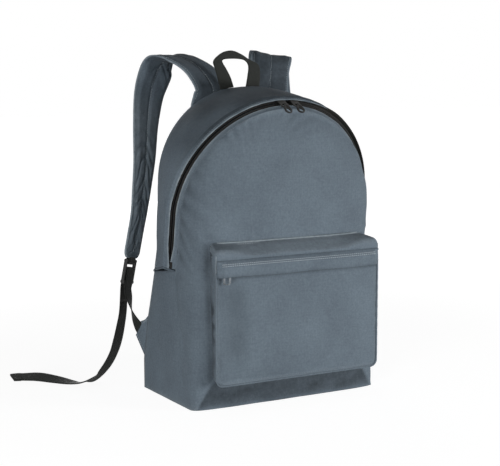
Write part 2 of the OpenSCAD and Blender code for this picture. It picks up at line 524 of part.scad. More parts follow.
// haul loop: inner and outer edge lines in x and z above the top back seam, thicker towards the grip
loop_thick = [0.9, 1.7];
haul_y = half_d - 19;
loop_in = [[-9, 0.1], [-14, 14], [-21, 26], [-26, 33], [-27.5, 37.5], [-22, 39.5], [-8, 40], [4, 39],
    [11, 36], [14.5, 29], [13, 16], [10, 0.1]];
loop_out = [[-9 - haul_w, -3], [-36.5, 17], [-40.5, 29], [-42, 36], [-37, 42.5], [-25, 49.8], [-11, 51.5],
    [3, 46.5], [14.5, 40], [31, 31.5], [34, 17], [10 + haul_w, -3.1]];
module haul_loop() color("black") rings([for (i = [0:len(loop_in) - 1]) let (a = loop_in[i],
    b = loop_out[i], t = mix(loop_thick[0], loop_thick[1], ease((a[1] - 19) / 18)))
    [[a[0], haul_y - t, a[1] + top_z], [a[0], haul_y + t, a[1] + top_z], [b[0], haul_y + t, b[1] + top_z],
        [b[0], haul_y - t, b[1] + top_z]]]);

front_panel();
top_gusset();
back_panel();
back_foam();
back_lining();
base_panel();
base_board();
zip_lip();
zip_tape_front();
zip_tape_rear();
zip_coil_front();
zip_coil_rear();
zip_stop_left();
zip_stop_right();
main_slider_left();
main_slider_right();
main_pull_left();
main_pull_right();
pocket_face();
pocket_gusset();
pocket_top();
pocket_tape_low();
pocket_tape_high();
pocket_coil_low();
pocket_coil_high();
pocket_slider();
pocket_pull();
pocket_flap();
strap_anchor();
haul_loop();
strap_face_left();
strap_foam_left();
strap_lining_left();
buckle_loop_left();
buckle_left();
strap_face_right();
strap_foam_right();
strap_lining_right();
buckle_loop_right();
buckle_right();
wing_left();
wing_right();
lower_web_left();
lower_web_right();
tail_left();
tail_right();
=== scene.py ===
import bpy
import bmesh
import math
import numpy as np
from numpy import array, clip, concatenate, cos, cross, exp, linspace, maximum, minimum, pi, sin
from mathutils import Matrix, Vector
from mathutils.bvhtree import BVHTree


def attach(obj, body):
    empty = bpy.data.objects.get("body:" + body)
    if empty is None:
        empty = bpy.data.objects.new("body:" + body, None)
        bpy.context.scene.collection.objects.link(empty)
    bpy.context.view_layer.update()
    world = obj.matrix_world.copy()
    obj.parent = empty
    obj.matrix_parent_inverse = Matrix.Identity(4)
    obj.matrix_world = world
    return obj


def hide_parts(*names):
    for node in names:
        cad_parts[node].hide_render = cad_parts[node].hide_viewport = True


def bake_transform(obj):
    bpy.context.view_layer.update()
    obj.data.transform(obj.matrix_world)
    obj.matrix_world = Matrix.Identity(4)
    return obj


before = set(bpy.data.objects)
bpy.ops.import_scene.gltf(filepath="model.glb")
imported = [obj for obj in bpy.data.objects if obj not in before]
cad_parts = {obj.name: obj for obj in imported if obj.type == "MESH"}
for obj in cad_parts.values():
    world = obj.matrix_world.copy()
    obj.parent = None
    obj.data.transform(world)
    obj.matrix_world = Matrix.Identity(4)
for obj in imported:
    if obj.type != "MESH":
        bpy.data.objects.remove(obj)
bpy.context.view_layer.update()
mm = 0.001  # shapes are worked out in millimetres and put down in metres
print("frame loaded,", len(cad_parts), "nodes")


# small curve and grid tools

def ease(x, start=0, width=1):  # smooth step from 0 at the start to 1 a width away, to the left if negative
    k = clip((x - start) / width, 0, 1)
    return k * k * (3 - 2 * k)


def bell(x, middle, width):  # 1 in the middle, about a third a width away from it
    return exp(-((x - middle) / width) ** 2)


def mix(a, b, k):  # straight blend from a to b
    return a + (b - a) * k


def unit(v):  # vectors of length 1
    return v / maximum(np.linalg.norm(v, axis=-1, keepdims=True), 1e-9)


def xyz(x, y, z):  # points from coordinates whose shapes fit together
    return np.stack(np.broadcast_arrays(x, y, z), -1)


def circle(count):  # angles once round
    return linspace(0, 2 * pi, count, endpoint=False)


def curve(points, u):  # Catmull-Rom: a cubic between two points whose slopes come from their neighbours
    p = np.asarray(points, float)
    last = len(p) - 1
    u = clip(np.asarray(u, float), 0, last)
    i = minimum(u.astype(int), last - 1)
    k = (u - i)[..., None]
    a, b, c, d = p[maximum(i - 1, 0)], p[i], p[i + 1], p[minimum(i + 2, last)]
    square, cube = 2 * a - 5 * b + 4 * c - d, 3 * b - a - 3 * c + d
    return 0.5 * (2 * b + (c - a) * k + square * k ** 2 + cube * k ** 3)


def runLength(points):  # length run along a line of points up to each of them
    return concatenate([[0], np.cumsum(np.linalg.norm(np.diff(points, axis=0), axis=1))])


def pointsAt(route, at):  # points of a route after the lengths given
    run = runLength(route)
    return np.stack([np.interp(at, run, route[:, i]) for i in range(3)], -1)


def evenly(route, step):  # the same line with points an even step apart
    length = runLength(route)[-1]
    return pointsAt(route, linspace(0, length, max(2, int(round(length / step)) + 1)))


def ripple(a, b, size, seed):  # twelve sine waves of about one size in seeded directions, about -1 to 1
    rng = np.random.default_rng(seed)
    turn, shift = rng.uniform(0, 2 * pi, (2, 12))
    wave = 2 * pi / (size * rng.uniform(0.7, 1.5, 12))
    a, b = np.broadcast_arrays(a, b)
    return sin((a[..., None] * cos(turn) + b[..., None] * sin(turn)) * wave + shift).sum(-1) / 3.5


def gridNormals(p):  # outward where columns run to the right and rows run up
    return unit(cross(np.gradient(p, axis=1), np.gradient(p, axis=0)))


def pushed(points, push):  # a grid moved outward
    return points + push[..., None] * gridNormals(points)


def gridFaces(rows, cols, wrap=False):  # quads of a grid, closed round its columns if wrapped
    i, j = np.meshgrid(np.arange(rows - 1), np.arange(cols if wrap else cols - 1), indexing="ij")
    k = (j + 1) % cols
    return np.stack([i * cols + j, i * cols + k, (i + 1) * cols + k, (i + 1) * cols + j], -1).reshape(-1, 4)


def gridLengths(p):  # lengths across each row from its middle, and along the middle column
    middle = p.shape[1] // 2
    across = np.cumsum(np.linalg.norm(np.diff(p, axis=1, prepend=p[:, :1]), axis=-1), axis=1)
    return across - across[:, middle:middle + 1], runLength(p[:, middle])[:, None]


def addObject(name, data):  # a new object at the origin, in the scene
    obj = bpy.data.objects.new(name, data)
    bpy.context.collection.objects.link(obj)
    return obj


def putMesh(name, points, faces, across, along, seam=None, caps=()):
    # points that no face uses are left out; across, along and the wear and painted light value each have a
    # value for each point or for all
    used, faces = np.unique(faces, return_inverse=True)
    renumber = np.full(points.size // 3, -1)
    renumber[used] = np.arange(len(used))

    def perPoint(value):  # one value for each point in use
        return np.broadcast_to(value, points.shape[:-1]).ravel()[used]

    mesh = bpy.data.meshes.new(name)
    quads, ends = faces.reshape(-1, 4).tolist(), [renumber[cap].tolist() for cap in caps]
    mesh.from_pydata((points.reshape(-1, 3)[used] * mm).tolist(), [], quads + ends)
    corner = np.empty(len(mesh.loops), np.int32)
    mesh.loops.foreach_get("vertex_index", corner)
    uv = np.stack([perPoint(across), perPoint(along)], -1) * mm
    mesh.uv_layers.new(name="cloth").data.foreach_set("uv", uv[corner].astype(np.float32).ravel())
    # the per-point value is wear, painted highlights and painted light where positive, and painted shade
    # where negative
    if seam is not None:
        values = perPoint(seam).astype(np.float32)
        mesh.attributes.new("seam", "FLOAT", "POINT").data.foreach_set("value", values)
    mesh.polygons.foreach_set("use_smooth", np.ones(len(mesh.polygons), bool))
    mesh.update()
    return addObject(name, mesh)


def putSheet(name, node, points, thick, seam=None, keep=None, body="pack"):
    # cloth panel: a grid with its thickness behind it
    faces = gridFaces(*points.shape[:2])
    obj = putMesh(name, points, faces if keep is None else faces[keep.ravel()], *gridLengths(points), seam)
    solid = obj.modifiers.new("thickness", "SOLIDIFY")
    solid.thickness, solid.offset, solid.use_even_offset = thick * mm, -1, False
    return dress(obj, "shellCloth", body, node)


def putTube(name, rings, around, look, seam=None):  # closed rings along a path, with both ends capped
    rows, cols = rings.shape[:2]
    caps = [np.arange(cols)[::-1], (rows - 1) * cols + np.arange(cols)]
    along = runLength(rings.mean(1))[:, None]
    return dress(putMesh(name, rings, gridFaces(rows, cols, True), around, along, seam, caps), *look)


def carry(line, across, facing, x, y):  # rings: a profile of x and y carried along a line
    across, facing = [np.broadcast_to(way, line.shape)[:, None] for way in (across, facing)]
    return line[:, None] + x[..., None] * across + y[..., None] * facing


def stripFrames(line, widths, u):  # centre, direction across and facing of a strip at each station
    step = 0.02
    along = unit(curve(line, minimum(u + step, len(line) - 1)) - curve(line, maximum(u - step, 0)))
    across = curve(widths, u)
    across = unit(across - (across * along).sum(-1, keepdims=True) * along)
    return curve(line, u), across, cross(along, across)


def putWeb(name, centre, across, facing, half, thick, look):
    # webbing: x = half cos a, y = half the thickness times the root of 1 - |cos a|^14, carried along the path
    a = circle(28)
    y = np.sign(sin(a)) * np.sqrt(maximum(0, 1 - abs(cos(a)) ** 14))
    half, thick = [np.broadcast_to(size, len(centre))[:, None] for size in (half, thick)]
    x = half * cos(a)
    return putTube(name, carry(centre, across, facing, x, thick / 2 * y), x, look)


def dress(obj, finishName, body, *nodes):  # look: finish, what it moves with, its solids
    obj.data.materials.append(materials[finishName])
    if nodes:
        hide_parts(*nodes)
    if body:
        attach(obj, body)
    return obj


# camera, light and stage

cameraSet = dict(place=(-0.8981, -1.5423, 0.4539), turn=29.758, tilt=7.489, focal=92.636, sensor=36)
studio = dict(
    lamps={  # place, size, power
        "keyLamp": ((1.3, -1.2, 0.08), 0.5, 37),
        "fillLamp": ((-1.5, -1.2, 0.08), 0.6, 38),
        "rearLamp": ((0.5, 2.4, 0.30), 1.2, 14),
    },
    aim=(0, 0, 0.2), sky=0.10, floorReach=9, floorDrop=0.0005, floorTone=0.28, floorGlow=(0.915, 1.0),
    glowFrom=(0.45, 1.4))
white, black = (1, 1, 1, 1), (0, 0, 0, 1)


def aim(obj, place, look):  # sets a camera or lamp down, looking along a direction
    obj.location = place
    obj.rotation_euler = look.to_track_quat("-Z", "Y").to_euler()


def putCamera():  # looks towards the back, turned to the right and tilted down
    data = bpy.data.cameras.new("camera")
    data.lens, data.sensor_width, data.sensor_fit = cameraSet["focal"], cameraSet["sensor"], "HORIZONTAL"
    turn, tilt = math.radians(cameraSet["turn"]), math.radians(cameraSet["tilt"])
    look = Vector((math.sin(turn) * math.cos(tilt), math.cos(turn) * math.cos(tilt), -math.sin(tilt)))
    camera = addObject("camera", data)
    aim(camera, cameraSet["place"], look)
    bpy.context.scene.camera = camera


def putLamps():  # square area lamps, all aimed at one point
    for name, (place, size, power) in studio["lamps"].items():
        data = bpy.data.lights.new(name, "AREA")
        data.size, data.energy = size, power
        aim(addObject(name, data), place, Vector(studio["aim"]) - Vector(place))


def fill(node, values):  # links sockets to a node's inputs and sets plain values on them
    for label, value in values.items():
        if isinstance(value, bpy.types.NodeSocket):
            node.id_data.links.new(value, node.inputs[label])
        else:
            node.inputs[label].default_value = value
    return node


def addNode(tree, kind, values, **settings):  # a shader node with its settings and inputs
    node = tree.nodes.new("ShaderNode" + kind)
    for label, value in settings.items():
        setattr(node, label, value)
    return fill(node, values)


def calc(kind, *values):  # one math node, in the tree of the first socket given
    tree = next(value.id_data for value in values if isinstance(value, bpy.types.NodeSocket))
    return addNode(tree, "Math", dict(enumerate(values)), operation=kind).outputs[0]


def times(a, b):  # a b
    return calc("MULTIPLY", a, b)


def timesPlus(a, b, c):  # a b + c
    return calc("MULTIPLY_ADD", a, b, c)


def seenRay(tree):  # 1 for camera, glossy and transmission rays
    path = tree.nodes.new("ShaderNodeLightPath").outputs
    either = calc("MAXIMUM", path["Is Camera Ray"], path["Is Glossy Ray"])
    return calc("MAXIMUM", either, path["Is Transmission Ray"])


def putStage():  # a sky that is white where it is seen and dim as light, and a pale floor
    world = bpy.data.worlds.new("studioSky")
    bpy.context.scene.world = world
    world.use_nodes = True
    strength = timesPlus(seenRay(world.node_tree), 1 - studio["sky"], studio["sky"])
    fill(world.node_tree.nodes["Background"], {"Color": white, "Strength": strength})
    material = bpy.data.materials.new("paleFloor")
    material.use_nodes = True
    tree = material.node_tree
    # the floor glows more away from the object, so that it fades into the white background
    place = tree.nodes.new("ShaderNodeTexCoord").outputs["Object"]
    far = addNode(tree, "VectorMath", {0: place}, operation="LENGTH").outputs["Value"]
    labels = ("Value", "From Min", "From Max", "To Min", "To Max")
    ramp = dict(zip(labels, (far, *studio["glowFrom"], *studio["floorGlow"])))
    glow = addNode(tree, "MapRange", ramp, interpolation_type="SMOOTHSTEP").outputs["Result"]
    fill(tree.nodes["Principled BSDF"], {
        "Base Color": (studio["floorTone"],) * 3 + (1,), "Roughness": 0.9, "Specular IOR Level": 0,
        "Emission Color": white, "Emission Strength": times(seenRay(tree), glow)})
    reach, z = studio["floorReach"], -studio["floorDrop"]
    mesh = bpy.data.meshes.new("floor")
    corners = [(-reach, -reach, z), (reach, -reach, z), (reach, reach, z), (-reach, reach, z)]
    mesh.from_pydata(corners, [], [(0, 1, 2, 3)])
    mesh.materials.append(material)
    addObject("floor", mesh)


putCamera()
bpy.context.scene.view_settings.view_transform = "Standard"
putLamps()
putStage()
print("camera and stage")


# finishes

def shade(rgb):  # display colour 0-255 to linear
    c = array(rgb) / 255
    return (*np.where(c <= 0.04045, c / 12.92, ((c + 0.055) / 1.055) ** 2.4).tolist(), 1)


def newGroup(name, **inputs):  # effect group: its inputs with their first values, and the same three outputs
    tree = bpy.data.node_groups.new(name, "ShaderNodeTree")
    for label, value in inputs.items():
        kind = "NodeSocketColor" if isinstance(value, tuple) else "NodeSocketFloat"
        tree.interface.new_socket(label, in_out="INPUT", socket_type=kind).default_value = value
    for label, kind in (("Colour", "Color"), ("Height", "Float"), ("Roughness", "Float")):
        tree.interface.new_socket(label, in_out="OUTPUT", socket_type="NodeSocket" + kind)
    place = tree.nodes.new("ShaderNodeTexCoord").outputs
    return tree, tree.nodes.new("NodeGroupInput").outputs, place


def closeGroup(tree, colour, height, roughness):  # ends an effect group in its three outputs
    fill(tree.nodes.new("NodeGroupOutput"), dict(Colour=colour, Height=height, Roughness=roughness))
    return tree


def mixColour(factor, a, b):  # from colour a to colour b by the factor
    return addNode(factor.id_data, "Mix", {0: factor, 6: a, 7: b}, data_type="RGBA").outputs[2]


def noise(vector, scale, detail=2, stretch=None):  # noise on a vector, stretched by three factors if given
    tree = vector.id_data
    if stretch:
        vector = addNode(tree, "Mapping", {"Vector": vector, "Scale": stretch}).outputs[0]
    return addNode(tree, "TexNoise", {"Vector": vector, "Scale": scale, "Detail": detail}).outputs["Fac"]


def makeWeave():
    # plain weave: warp |sin u| and weft |sin v| take turns on top by the sign of sin u sin v;
    # the per-point attribute lightens the cloth where it is positive, for wear, painted highlights and
    # painted light, and darkens it towards a painted shade colour where it is negative
    tree, given, place = newGroup("plainWeave", Threads=1400, Light=white, Dark=black, Worn=white, Soil=black)
    parts = addNode(tree, "SeparateXYZ", {0: place["UV"]}).outputs
    count = times(given["Threads"], pi)
    warp, weft = [calc("SINE", times(parts[i], count)) for i in (0, 1)]
    over = calc("GREATER_THAN", times(warp, weft), 0)
    under = calc("SUBTRACT", 1, over)
    high = calc("ADD", times(calc("ABSOLUTE", warp), over), times(calc("ABSOLUTE", weft), under))
    mottle = noise(place["Object"], 16, 3)
    tone = timesPlus(mottle, 0.85, -0.15)
    for stretch in ((700, 45, 1), (45, 700, 1)):  # uneven threads, both ways
        tone = timesPlus(noise(place["UV"], 1, 2, stretch), 0.35, tone)
    tone = timesPlus(calc("SUBTRACT", noise(place["Object"], 380), 0.5), 0.8, tone)
    tone = timesPlus(high, 0.25, calc("SUBTRACT", tone, 0.28))
    cloth = mixColour(tone, given["Dark"], given["Light"])
    seam = addNode(tree, "Attribute", {}, attribute_name="seam").outputs["Fac"]
    patchy = noise(place["UV"], 160, 3)
    # lighter mix: wear, painted highlights and painted light; darker mix: painted shade
    wearAndLightMix = times(calc("MAXIMUM", seam, 0), patchy)
    shadeMix = times(calc("MAXIMUM", times(seam, -1), 0), timesPlus(patchy, 0.5, 0.75))
    cloth = mixColour(shadeMix, mixColour(wearAndLightMix, cloth, given["Worn"]), given["Soil"])
    return closeGroup(tree, cloth, high, timesPlus(mottle, 0.2, 0.62))


def makeRib():
    # webbing: ribs |sin v| along it, stepped half a rib from one column of threads to the next
    tree, given, place = newGroup("ribbedWeb", Ribs=500, Columns=420, Light=white, Dark=black)
    parts = addNode(tree, "SeparateXYZ", {0: place["UV"]}).outputs
    column = times(parts[0], given["Columns"])
    row = calc("ADD", times(parts[1], given["Ribs"]), times(calc("FLOOR", column), 0.5))
    rib, cord = [calc("ABSOLUTE", calc("SINE", times(way, pi))) for way in (row, column)]
    high = timesPlus(rib, 0.65, times(cord, 0.35))
    fuzz = noise(place["UV"], 220, 4)
    tone = timesPlus(fuzz, 0.7, timesPlus(high, 0.5, -0.2))
    return closeGroup(tree, mixColour(tone, given["Dark"], given["Light"]), high, timesPlus(fuzz, 0.25, 0.5))


def makeRub():
    # hard parts: fine grain with cloudy tone and small rubbed specks
    tree, given, place = newGroup("rubbedGrain", Light=white, Dark=black, Base=0.4)
    cloud, grain = noise(place["Object"], 130, 3), noise(place["Object"], 2600)
    speck = calc("GREATER_THAN", noise(place["Object"], 900, 4), 0.66)
    tone = timesPlus(cloud, 0.6, timesPlus(speck, 0.5, -0.1))
    colour = mixColour(tone, given["Dark"], given["Light"])
    return closeGroup(tree, colour, grain, timesPlus(cloud, 0.2, given["Base"]))


def finish(name, effect, light, dark, bump, depth, specular, values, more=()):
    # a material: one effect group feeds the shader's colour, roughness and bump
    material = bpy.data.materials.new(name)
    material.use_nodes = True
    tree = material.node_tree
    values = dict(values, Light=light, Dark=dark)
    values = {label: shade(v) if isinstance(v, tuple) else v for label, v in values.items()}
    made = addNode(tree, "Group", values, node_tree=effect).outputs
    raised = addNode(tree, "Bump", {"Strength": bump, "Distance": depth * mm, "Height": made["Height"]})
    fill(tree.nodes["Principled BSDF"], {
        "Base Color": made["Colour"], "Roughness": made["Roughness"], "Normal": raised.outputs[0],
        "Specular IOR Level": specular, **dict(more)})
    return material


weave, rib, rub = makeWeave(), makeRib(), makeRub()
threads = dict(Ribs=1600, Columns=300)
finishes = dict(  # slot, effect, light, dark, bump, its depth, specular, values of the effect and shader
    shellCloth=("shell_fabric", weave, (113, 126, 136), (82, 92, 102), 0.35, 0.3, 0.1,
                # the lighter further colour is for wear, painted highlights and painted light; the darkest is
                # the painted shade colour
                dict(Threads=1500, Worn=(150, 160, 166), Soil=(34, 38, 42)),
                {"Sheen Weight": 0.03, "Sheen Roughness": 0.4}),
    threadGrey=("shell_fabric", rib, (176, 184, 188), (138, 147, 153), 0.3, 0.2, 0.3, threads),
    threadDark=("shell_fabric", rib, (124, 136, 145), (96, 106, 115), 0.3, 0.2, 0.3, threads),
    webBlack=("webbing", rib, (44, 47, 44), (20, 21, 20), 0.6, 0.4, 0.12, dict(Ribs=520, Columns=430),
              {"Sheen Weight": 0.03}),
    tapeBlack=("zip_tape", rib, (50, 50, 48), (25, 25, 24), 0.4, 0.2, 0.1, dict(Ribs=1100, Columns=900)),
    coilBlack=("zip_coil", rub, (52, 52, 51), (24, 24, 24), 0.1, 0.1, 0.2, dict(Base=0.5)),
    metalBlack=("black_metal", rub, (25, 25, 22), (9, 9, 8), 0.15, 0.08, 0.25, dict(Base=0.42)),
    metalGrey=("grey_metal", rub, (168, 177, 184), (54, 58, 62), 0.12, 0.08, 0.4, dict(Base=0.3),
               {"Metallic": 0.3}),
    plasticBlack=("buckle_plastic", rub, (54, 55, 54), (28, 28, 28), 0.35, 0.12, 0.3, dict(Base=0.42)),
    boardDark=("board", rub, (70, 66, 60), (46, 43, 40), 0.3, 0.3, 0.3, dict(Base=0.6)))
materials = {name: finish(name, *row[1:]) for name, row in finishes.items()}
print("finishes")


# straps: middle lines and directions across in the frame, then the webbing that hangs from them

strapLeft = dict(
    side="left",
    line=[[-42, 65.75, 391], [-39, 70.5, 419], [-52, 79, 443], [-68, 93, 457.5], [-84.5, 107, 462],
          [-95.5, 116, 454.5], [-104, 119, 437], [-113, 119.5, 410], [-119, 118, 368], [-122, 117, 320],
          [-127, 116, 281], [-133, 114, 244], [-140, 113, 212], [-147, 112, 180]],
    width=[[1, 0, 0], [0.95, 0.28, 0.1], [0.88, 0.43, 0.12], [0.84, 0.5, 0.1], [0.87, 0.45, 0.06],
           [0.93, 0.32, 0.02], [0.95, 0.28, 0], [0.92, 0.36, 0], [0.88, 0.44, 0], [0.86, 0.48, 0],
           [0.84, 0.52, 0]] + [[0.82, 0.57, 0]] * 3,
    rise=[[-141, 83, 77.5], [-144.5, 89, 81.5], [-148.3, 97, 92.5], [-151.5, 103, 108], [-153.2, 107, 125]],
    tail=[[-160.5, 112, 107], [-162.5, 116, 85], [-165, 122, 62], [-168, 129, 43], [-176, 135, 24],
          [-191, 135, 9.5], [-207, 127, 7.6], [-222, 126, 5], [-234, 134, 5.5], [-250, 152, 7.7],
          [-268, 171, 9.5], [-286, 187, 8.2], [-301, 187, 9]],
    tailWidth=[[0.83, 0.55, 0], [0.88, 0.47, 0], [0.92, 0.4, 0], [0.89, 0.45, -0.1], [0.75, 0.53, -0.39],
               [0.23, 0.67, -0.7], [-0.2, 0.85, -0.48], [0.25, 0.95, -0.19], [0.68, 0.73, 0.05],
               [0.72, 0.64, 0.27], [0.65, 0.66, 0.38], [0.41, 0.86, 0.3], [0, 0.97, 0.25]],
    settle=(-170, 131, 34))
strapRight = dict(
    side="right",
    line=[[50, 65.75, 391], [54.5, 70.5, 417], [61, 78, 442], [70, 91, 459.5], [78, 105, 464],
          [82, 115, 454.5], [84, 118.5, 432], [89, 119.5, 398], [97, 118, 361], [105, 117, 318],
          [113, 116, 280], [122, 114, 244], [132, 113, 212], [141, 112, 180]],
    width=[[1, 0, 0], [1, 0, -0.08], [1, 0, -0.14], [1, -0.02, -0.16], [0.99, -0.06, -0.15],
           [0.97, -0.14, -0.12], [0.94, -0.24, -0.08], [0.9, -0.36, -0.04], [0.86, -0.46, 0],
           [0.84, -0.52, 0], [0.83, -0.56, 0]] + [[0.82, -0.57, 0]] * 3,
    rise=[[141, 83, 77.5], [144.5, 89, 81.5], [147.6, 97, 92.5], [149.2, 103, 108], [149.8, 107, 125]],
    tail=[[150, 110, 107], [148, 115, 85], [145, 122, 60], [140, 131, 38], [131, 140, 20], [117, 147, 9],
          [100, 150, 5], [82, 149, 4.6], [64, 147, 4.6], [48, 146, 4.6], [35, 146, 4.6]],
    tailWidth=[[0.82, -0.57, 0], [0.8, -0.6, 0], [0.75, -0.65, 0], [0.6, -0.75, 0], [0.4, -0.9, 0.1],
               [0.2, -0.95, 0.2]] + [[0, -0.95, 0.3]] * 5,
    settle=(137, 134, 32))
webbing = dict(width=20, thick=1.6, hem=15, barTurn=3.2, slack=3.4, midBar=20, cutAt=62, loosen=38,
               riseWidth=[[-0.15, 0.59, -0.79]] * 2 + [[0.05, 0.85, -0.5], [0.4, 0.9, -0.1], [0.75, 0.65, 0]])


def strapEnd(strap):  # frame at the strap's end: place, across, down the strap, towards the pack
    place, across, facing = stripFrames(strap["line"], strap["width"], array([len(strap["line"]) - 1.0]))
    return place[0], across[0], cross(across[0], facing[0]), facing[0]


def inEnd(end, down, out):  # a point in that frame
    return end[0] + down * end[2] + out * end[3]


def layWebbing(strap):
    # one line: up from the wing, round the middle bar of the buckle and down again as the free tail
    end, side, cutAt = strapEnd(strap), strap["side"], webbing["cutAt"]
    turn, mid = webbing["barTurn"], webbing["midBar"]
    corner, top = 0.76 * turn, mid - webbing["slack"]
    bend = [[44, 3.3], [36, 3.3], [28, 3.3], [mid + 2.3, turn], [top - corner, corner], [top - turn, 0],
            [top - corner, -corner], [mid + 2.3, -turn], [30, -3.3], [37, -3.3], [43, -3.2]]
    mirror = 1 if side == "left" else -1
    rise = [[x, mirror * y, mirror * z] for x, y, z in webbing["riseWidth"]]
    line = array(strap["rise"] + [inEnd(end, *place) for place in bend] + strap["tail"])
    widths = array(rise + [end[1]] * len(bend) + strap["tailWidth"])
    u = linspace(0, len(line) - 1, 4001)
    below = (curve(line, u) - end[0]) @ end[2] >= cutAt
    upper = np.argmin(abs(u - len(rise) - 5))  # the turn over the bar
    first, last = u[:upper][below[:upper]][-1], u[upper:][below[upper:]][0]

    def lay(name, start, stop, count, near, far, nodes, hem=0):  # near and far are not used
        centre, across, facing = stripFrames(line, widths, linspace(start, stop, count))
        run = runLength(centre)
        thick = webbing["thick"] * (1 + 0.9 * ease(run, run[-1] - hem, 1.5))  # doubled where it is hemmed
        look = "webBlack", None, *nodes
        web = putWeb(name + side, centre, across, facing, webbing["width"] / 2, thick, look)
        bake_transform(web)
        return web, centre * mm

    tail, path = lay("freeTail_", last, len(line) - 1, 90, curve(line, last),
                     array(strap["settle"]), ["tail_" + side], webbing["hem"])
    length = float(runLength(path)[-1])
    lay("webLoop_", first, last, 110, inEnd(end, webbing["loosen"], 0),
        inEnd(end, cutAt - 1, 0), [])
    lay("lowerWeb_", 0, first, 50, inEnd(end, cutAt, 0), line[0], ["lower_web_" + side])
    print("webbing", side, "tail", round(length, 3), "m")


layWebbing(strapLeft)
layWebbing(strapRight)


# main zip: an arch in a leaning plane with two straight legs

# the lip's lighter line is wear and a painted highlight on its folded edge; its darkening towards the top of
# the arch is painted shade
zipSet = dict(radius=148.5, lean=16.2, half=7.5, gap=0.8, legLength=82, legIn=5.5, tilt=40, top=(0, -68, 402),
              end=0.994, toothPitch=1.5, stitchPitch=3.6, wave=0.35, flat=0.62, drawn=7, wearAndLight=1.8, shut=3.3,
              lipSoil=0.75)
zipLean, zipTilt = math.radians(zipSet["lean"]), math.radians(zipSet["tilt"])
zipDown = array([0, math.sin(zipLean), -math.cos(zipLean)])
zipFront = array([0, -math.cos(zipLean), -math.sin(zipLean)])
zipMid = array(zipSet["top"]) + zipSet["radius"] * zipDown
sideways = array([1.0, 0, 0])


def archPart(u):  # u runs from -1 to 1: angle round the arch, and share of a leg beyond 0.75
    far = abs(u)
    return pi / 2 * minimum(far / 0.75, 1) * np.sign(u), maximum(0, (far - 0.75) / 0.25)


def besideZip(u, w, h):  # point of the arch at u, moved w towards the front panel and h outward
    u, w, h = np.broadcast_arrays(u, w, h)
    turn, leg = [part[..., None] for part in archPart(u)]
    outward = sin(turn) * sideways - cos(turn) * zipDown
    point = zipMid + zipSet["radius"] * outward + leg * (zipSet["legLength"] * zipDown)
    point = point - leg * zipSet["legIn"] * np.sign(u)[..., None] * sideways
    c, s = math.cos(zipTilt), math.sin(zipTilt)
    return point + (h * c - w * s)[..., None] * outward + (w * c + h * s)[..., None] * zipFront


def roundProfile(corners, count):  # closed smooth line through the corners of a profile
    around = concatenate([corners[-2:], corners, corners[:3]])
    return curve(around, 2 + linspace(0, len(corners), count, endpoint=False))


def alongZip(name, profile, count, look, wearAndLightAt=None, flat=0, drawn=0, shut=0, shadeAmount=0):
    # a closed profile of w and h carried along the arch, lighter near the given w for wear and a painted
    # highlight on the folded edge, darker towards the top of the arch by the given painted shade, with a
    # slight wave along it;
    # on the right it is pressed flat and drawn back from the teeth, and at both ends it closes over them
    u = linspace(-1, 1, count)[:, None] * zipSet["end"]
    profile = np.asarray(profile)[::-1]
    w, h = profile.T
    around = runLength(concatenate([profile, profile[:1]]))[:-1]
    if wearAndLightAt is None:
        return putTube(name, besideZip(u, w, h), around, look)
    run = runLength(besideZip(u[:, 0], 0, 0))[:, None]
    h = h + zipSet["wave"] * clip(h - 1.2, 0, 1) * ripple(run, 0, 24, 14)
    wearAndLight = clip(bell(w, wearAndLightAt, 1.3) * (0.75 + 0.25 * ripple(run, 0, 30, 13)), 0, 1)
    right = ease(u, 0.04, 0.3)
    h, w = h * (1 - flat * right), w - drawn * right * clip((w + 10) / 7.5, 0, 1)
    free = clip((w + 10) / 7.5 if shut > 0 else (10 - w) / 5.7, 0, 1) * ease(abs(u), 0.88, 0.11)
    seam = zipSet["wearAndLight"] * wearAndLight - shadeAmount * ease(abs(u), 0.62, -0.25) * (1 - wearAndLight)
    return putTube(name, besideZip(u, w + shut * free, h + free), around, look, seam)


def coilProfile(side, run):
    # round teeth: the coil's width and height swell and shrink by |sin| of the run along the zip
    swell = 0.72 + 0.28 * abs(sin(pi * run / zipSet["toothPitch"]))[:, None]
    a = circle(12)
    return side * (1.65 + 0.84 * swell * cos(a)), 0.85 + 0.74 * swell * sin(a), a


